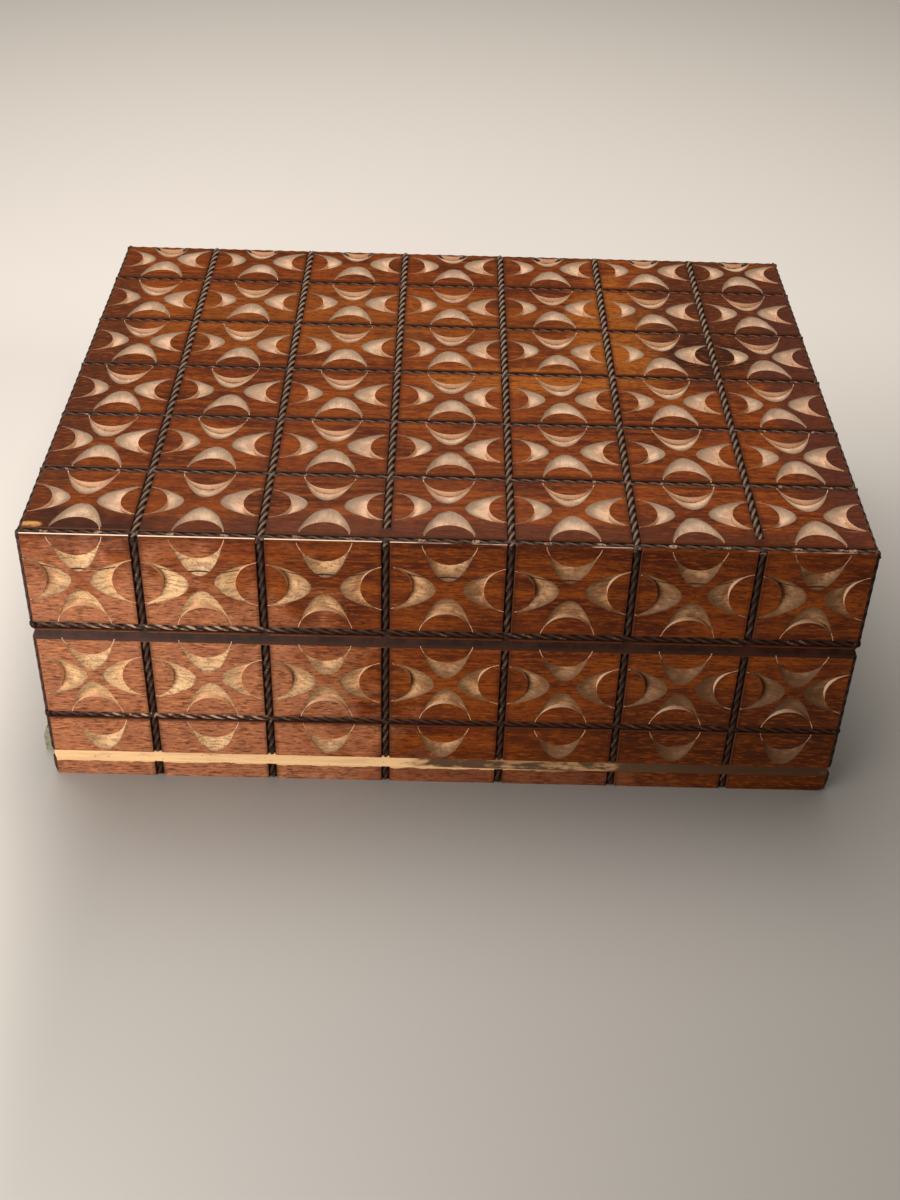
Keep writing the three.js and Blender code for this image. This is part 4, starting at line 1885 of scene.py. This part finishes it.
@dataclass
class Studio:
    """The camera at the photograph's angle, a pale floor with painted light at its back and left, and soft
    light.
    """

    azimuth: float = -0.6922
    elevation: float = 37.311
    roll: float = 1.8339
    shift_x: float = 1.186
    shift_z: float = 0.0931
    distance: float = 351.608
    lens: float = 47.17
    sensor: float = 36.0
    clip: tuple[float, float] = (0.01, 20.0)
    floor_size: float = 6.0
    floor_gap: float = 0.00005
    # Painted light on the floor: paler behind as a painted reflection, and at the left as a painted pool of
    # light.
    reflection_behind: tuple[float, float] = (-60.0, 160.0)
    lit_beside: tuple[float, float] = (-110.0, -60.0)
    lit_beside_share: float = 0.85
    floor: Colour = stain(150, 147, 144)
    lit_floor: Colour = stain(240, 235, 230)
    world: Colour = stain(236, 222, 206)
    bounce: Colour = stain(104, 96, 86)
    world_strength: float = 0.12
    lamps: tuple[Lamp, ...] = (
        Lamp("ceiling_light", (-60.0, 100.0, 560.0), 460.0, 3.6, (0.0, 10.0, 40.0)),
        Lamp("window_light", (-134.0, -212.0, 72.0), 170.0, 0.52, (-60.0, -58.0, 20.0)),
    )

    def build(self) -> None:
        """Builds the camera, the floor and the lights."""
        self.camera()
        self.ground()
        for lamp in self.lamps:
            lamp.hang()
        world = bpy.data.worlds.new("studio_world")
        world.use_nodes = True
        background = world.node_tree.nodes["Background"]
        background.inputs["Color"].default_value = self.world
        background.inputs["Strength"].default_value = self.world_strength
        bpy.context.scene.world = world
        bpy.context.scene.view_settings.view_transform = "Standard"

    def camera(self) -> None:
        """Puts the camera where the photograph was taken from."""
        a, e, r = (math.radians(angle) for angle in (self.azimuth, self.elevation, self.roll))
        back = Vector((math.sin(a) * math.cos(e), -math.cos(a) * math.cos(e), math.sin(e)))
        level = (-back).cross(Vector((0, 0, 1))).normalized()
        above = level.cross(-back)
        right = level * math.cos(r) + above * math.sin(r)
        up = above * math.cos(r) - level * math.sin(r)
        place = back * self.distance + level * self.shift_x + above * self.shift_z
        data = bpy.data.cameras.new("camera")
        data.lens, data.sensor_width = self.lens, self.sensor
        data.clip_start, data.clip_end = self.clip
        camera = bpy.data.objects.new("camera", data)
        turned = Matrix((right, up, back)).transposed().to_4x4()
        camera.matrix_world = Matrix.Translation(place * MM) @ turned
        bpy.context.scene.collection.objects.link(camera)
        bpy.context.scene.camera = camera

    def ground(self) -> None:
        """Lays the pale floor that the box stands on, paler at its back and left as painted light."""
        bpy.ops.object.select_all(action="DESELECT")
        bpy.ops.mesh.primitive_plane_add(size=self.floor_size, location=(0, 0, -self.floor_gap))
        floor = bpy.context.active_object
        floor.name = "floor"
        bench = Bench("pale_floor")
        rays = bench.node("ShaderNodeLightPath").outputs
        seen = Value(bench, rays["Is Camera Ray"]).greater(Value(bench, rays["Is Glossy Ray"]))
        seen = seen.greater(Value(bench, rays["Is Transmission Ray"]))
        # Painted light: the floor paler towards the back as a painted reflection, and at the left as a
        # painted pool of light.
        beside = bench.x.fall(*self.lit_beside) * self.lit_beside_share
        pale = bench.y.rise(*self.reflection_behind).greater(beside)
        colour = bench.mix(pale, self.floor, self.lit_floor)
        colour = bench.mix(seen, self.bounce, colour)
        floor.data.materials.append(bench.finish(colour, 0.5))


def board_materials() -> list[bpy.types.Material]:
    """Makes the finishes of the boards.

    Returns:
        The materials in the order of Finish.
    """
    gold, dark, black = stain(180, 104, 34), stain(74, 38, 24), stain(40, 20, 12)
    top_patches = (
        Patch((-30.0, 24.0, 56.0), (52.0, 16.0, 12.0), gold, 0.22),
        Patch((35.0, 22.0, 56.0), (11.0, 26.0, 12.0), gold, 0.55),
        Patch((12.0, 0.0, 56.0), (22.0, 6.0, 12.0), gold, 0.5),
        Patch((58.0, 30.0, 56.0), (20.0, 34.0, 12.0), dark, 0.85),
        Patch((53.0, 12.0, 56.0), (11.0, 9.0, 12.0), black, 0.85),
        Patch((-72.0, 0.0, 56.0), (7.0, 60.0, 12.0), dark, 0.7),
        Patch((75.0, -6.0, 56.0), (13.0, 66.0, 12.0), stain(80, 42, 32), 0.85, stain(98, 52, 36)),
        Patch((70.4, -51.3, 56.5), (4.4, 0.14, 12.0), stain(158, 92, 72), 0.9),
        Patch((0.0, -57.5, 56.0), (96.0, 7.5, 12.0), stain(82, 40, 24), 0.75, stain(108, 56, 28)),
        Patch((-66.0, -56.0, 56.0), (16.0, 7.0, 12.0), black, 0.7, dark),
        Patch((-72.7, -55.2, 56.0), (2.2, 1.1, 12.0), stain(214, 154, 90), 0.9),
    )
    cream = (stain(226, 190, 160), stain(190, 154, 126), stain(134, 114, 94))
    tan = (stain(224, 174, 126), stain(160, 112, 72), stain(136, 98, 64))
    front_patches = (
        # Painted light: the front lighter towards the left, with brighter dashes.
        Patch((-66.0, -58.0, 12.0), (58.0, 12.0, 44.0), stain(176, 114, 82), 0.75, stain(232, 152, 98)),
        # Painted shade: the front darker towards the lower right.
        Patch((70.0, -58.0, 2.0), (70.0, 12.0, 26.0), stain(60, 28, 12), 0.6),
        # Painted light: the foot of the front lighter towards the left.
        Patch((-20.0, -58.0, 1.0), (62.0, 12.0, 4.5), stain(150, 98, 74), 0.4),
    )
    made = {
        Finish.TOP: StainedWood("stained_top", Face.TOP, Grain.ALONG_WIDTH, patches=top_patches).material(),
        Finish.FRONT: StainedWood(
            "stained_front", Face.FRONT, Grain.ALONG_WIDTH, patches=front_patches
        ).material(),
        Finish.SIDE: StainedWood("stained_side", Face.LEFT, Grain.ALONG_DEPTH).material(),
        Finish.TOP_GOUGED_UP: GougedWood("top_gouged_up", (1.0, 0.1, 0.1), *cream).material(),
        Finish.TOP_GOUGED_ACROSS: GougedWood("top_gouged_across", (0.1, 1.0, 0.1), *cream).material(),
        Finish.SIDE_GOUGED: GougedWood("side_gouged", (0.16, 0.16, 1.0), *tan, 0.42, 0.6, 0.5).material(),
        Finish.STOPPED: StoppedWood().material(),
        Finish.SCORED: StoppedWood(
            "scored_wood", stain(206, 168, 130), stain(124, 74, 40), stain(150, 96, 56)
        ).material(),
        Finish.LINE: LineStain("line_stain").material(),
        Finish.BEVEL: LineStain(
            "bevel_stain", stain(40, 21, 14), stain(66, 38, 26), 0.7, stain(60, 34, 22)
        ).material(),
        Finish.BARE: BareWood().material(),
        Finish.INNER: PlainWood(
            "inner_wood", Grain.ALONG_WIDTH, stain(150, 106, 66), stain(112, 74, 44), stain(70, 44, 26)
        ).material(),
        Finish.END: EndWood().material(),
    }
    return [made[finish] for finish in Finish]


def main() -> None:
    """Builds the box's looks in order."""
    logging.basicConfig(level=logging.INFO, format="%(name)s: %(message)s")
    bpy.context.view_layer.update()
    Studio().build()
    materials = board_materials()
    carving = Carving()
    carving.build(materials)
    ropes = RopeLines()
    ropes.build()
    lines = Lines(ropes)
    Lid(materials, carving, lines).build()
    Body(materials, carving, lines).build()
    Base(materials, lines).build()
    Fittings().build()
    carving.clear()
    ropes.clear()


if __name__ == "__main__":
    main()
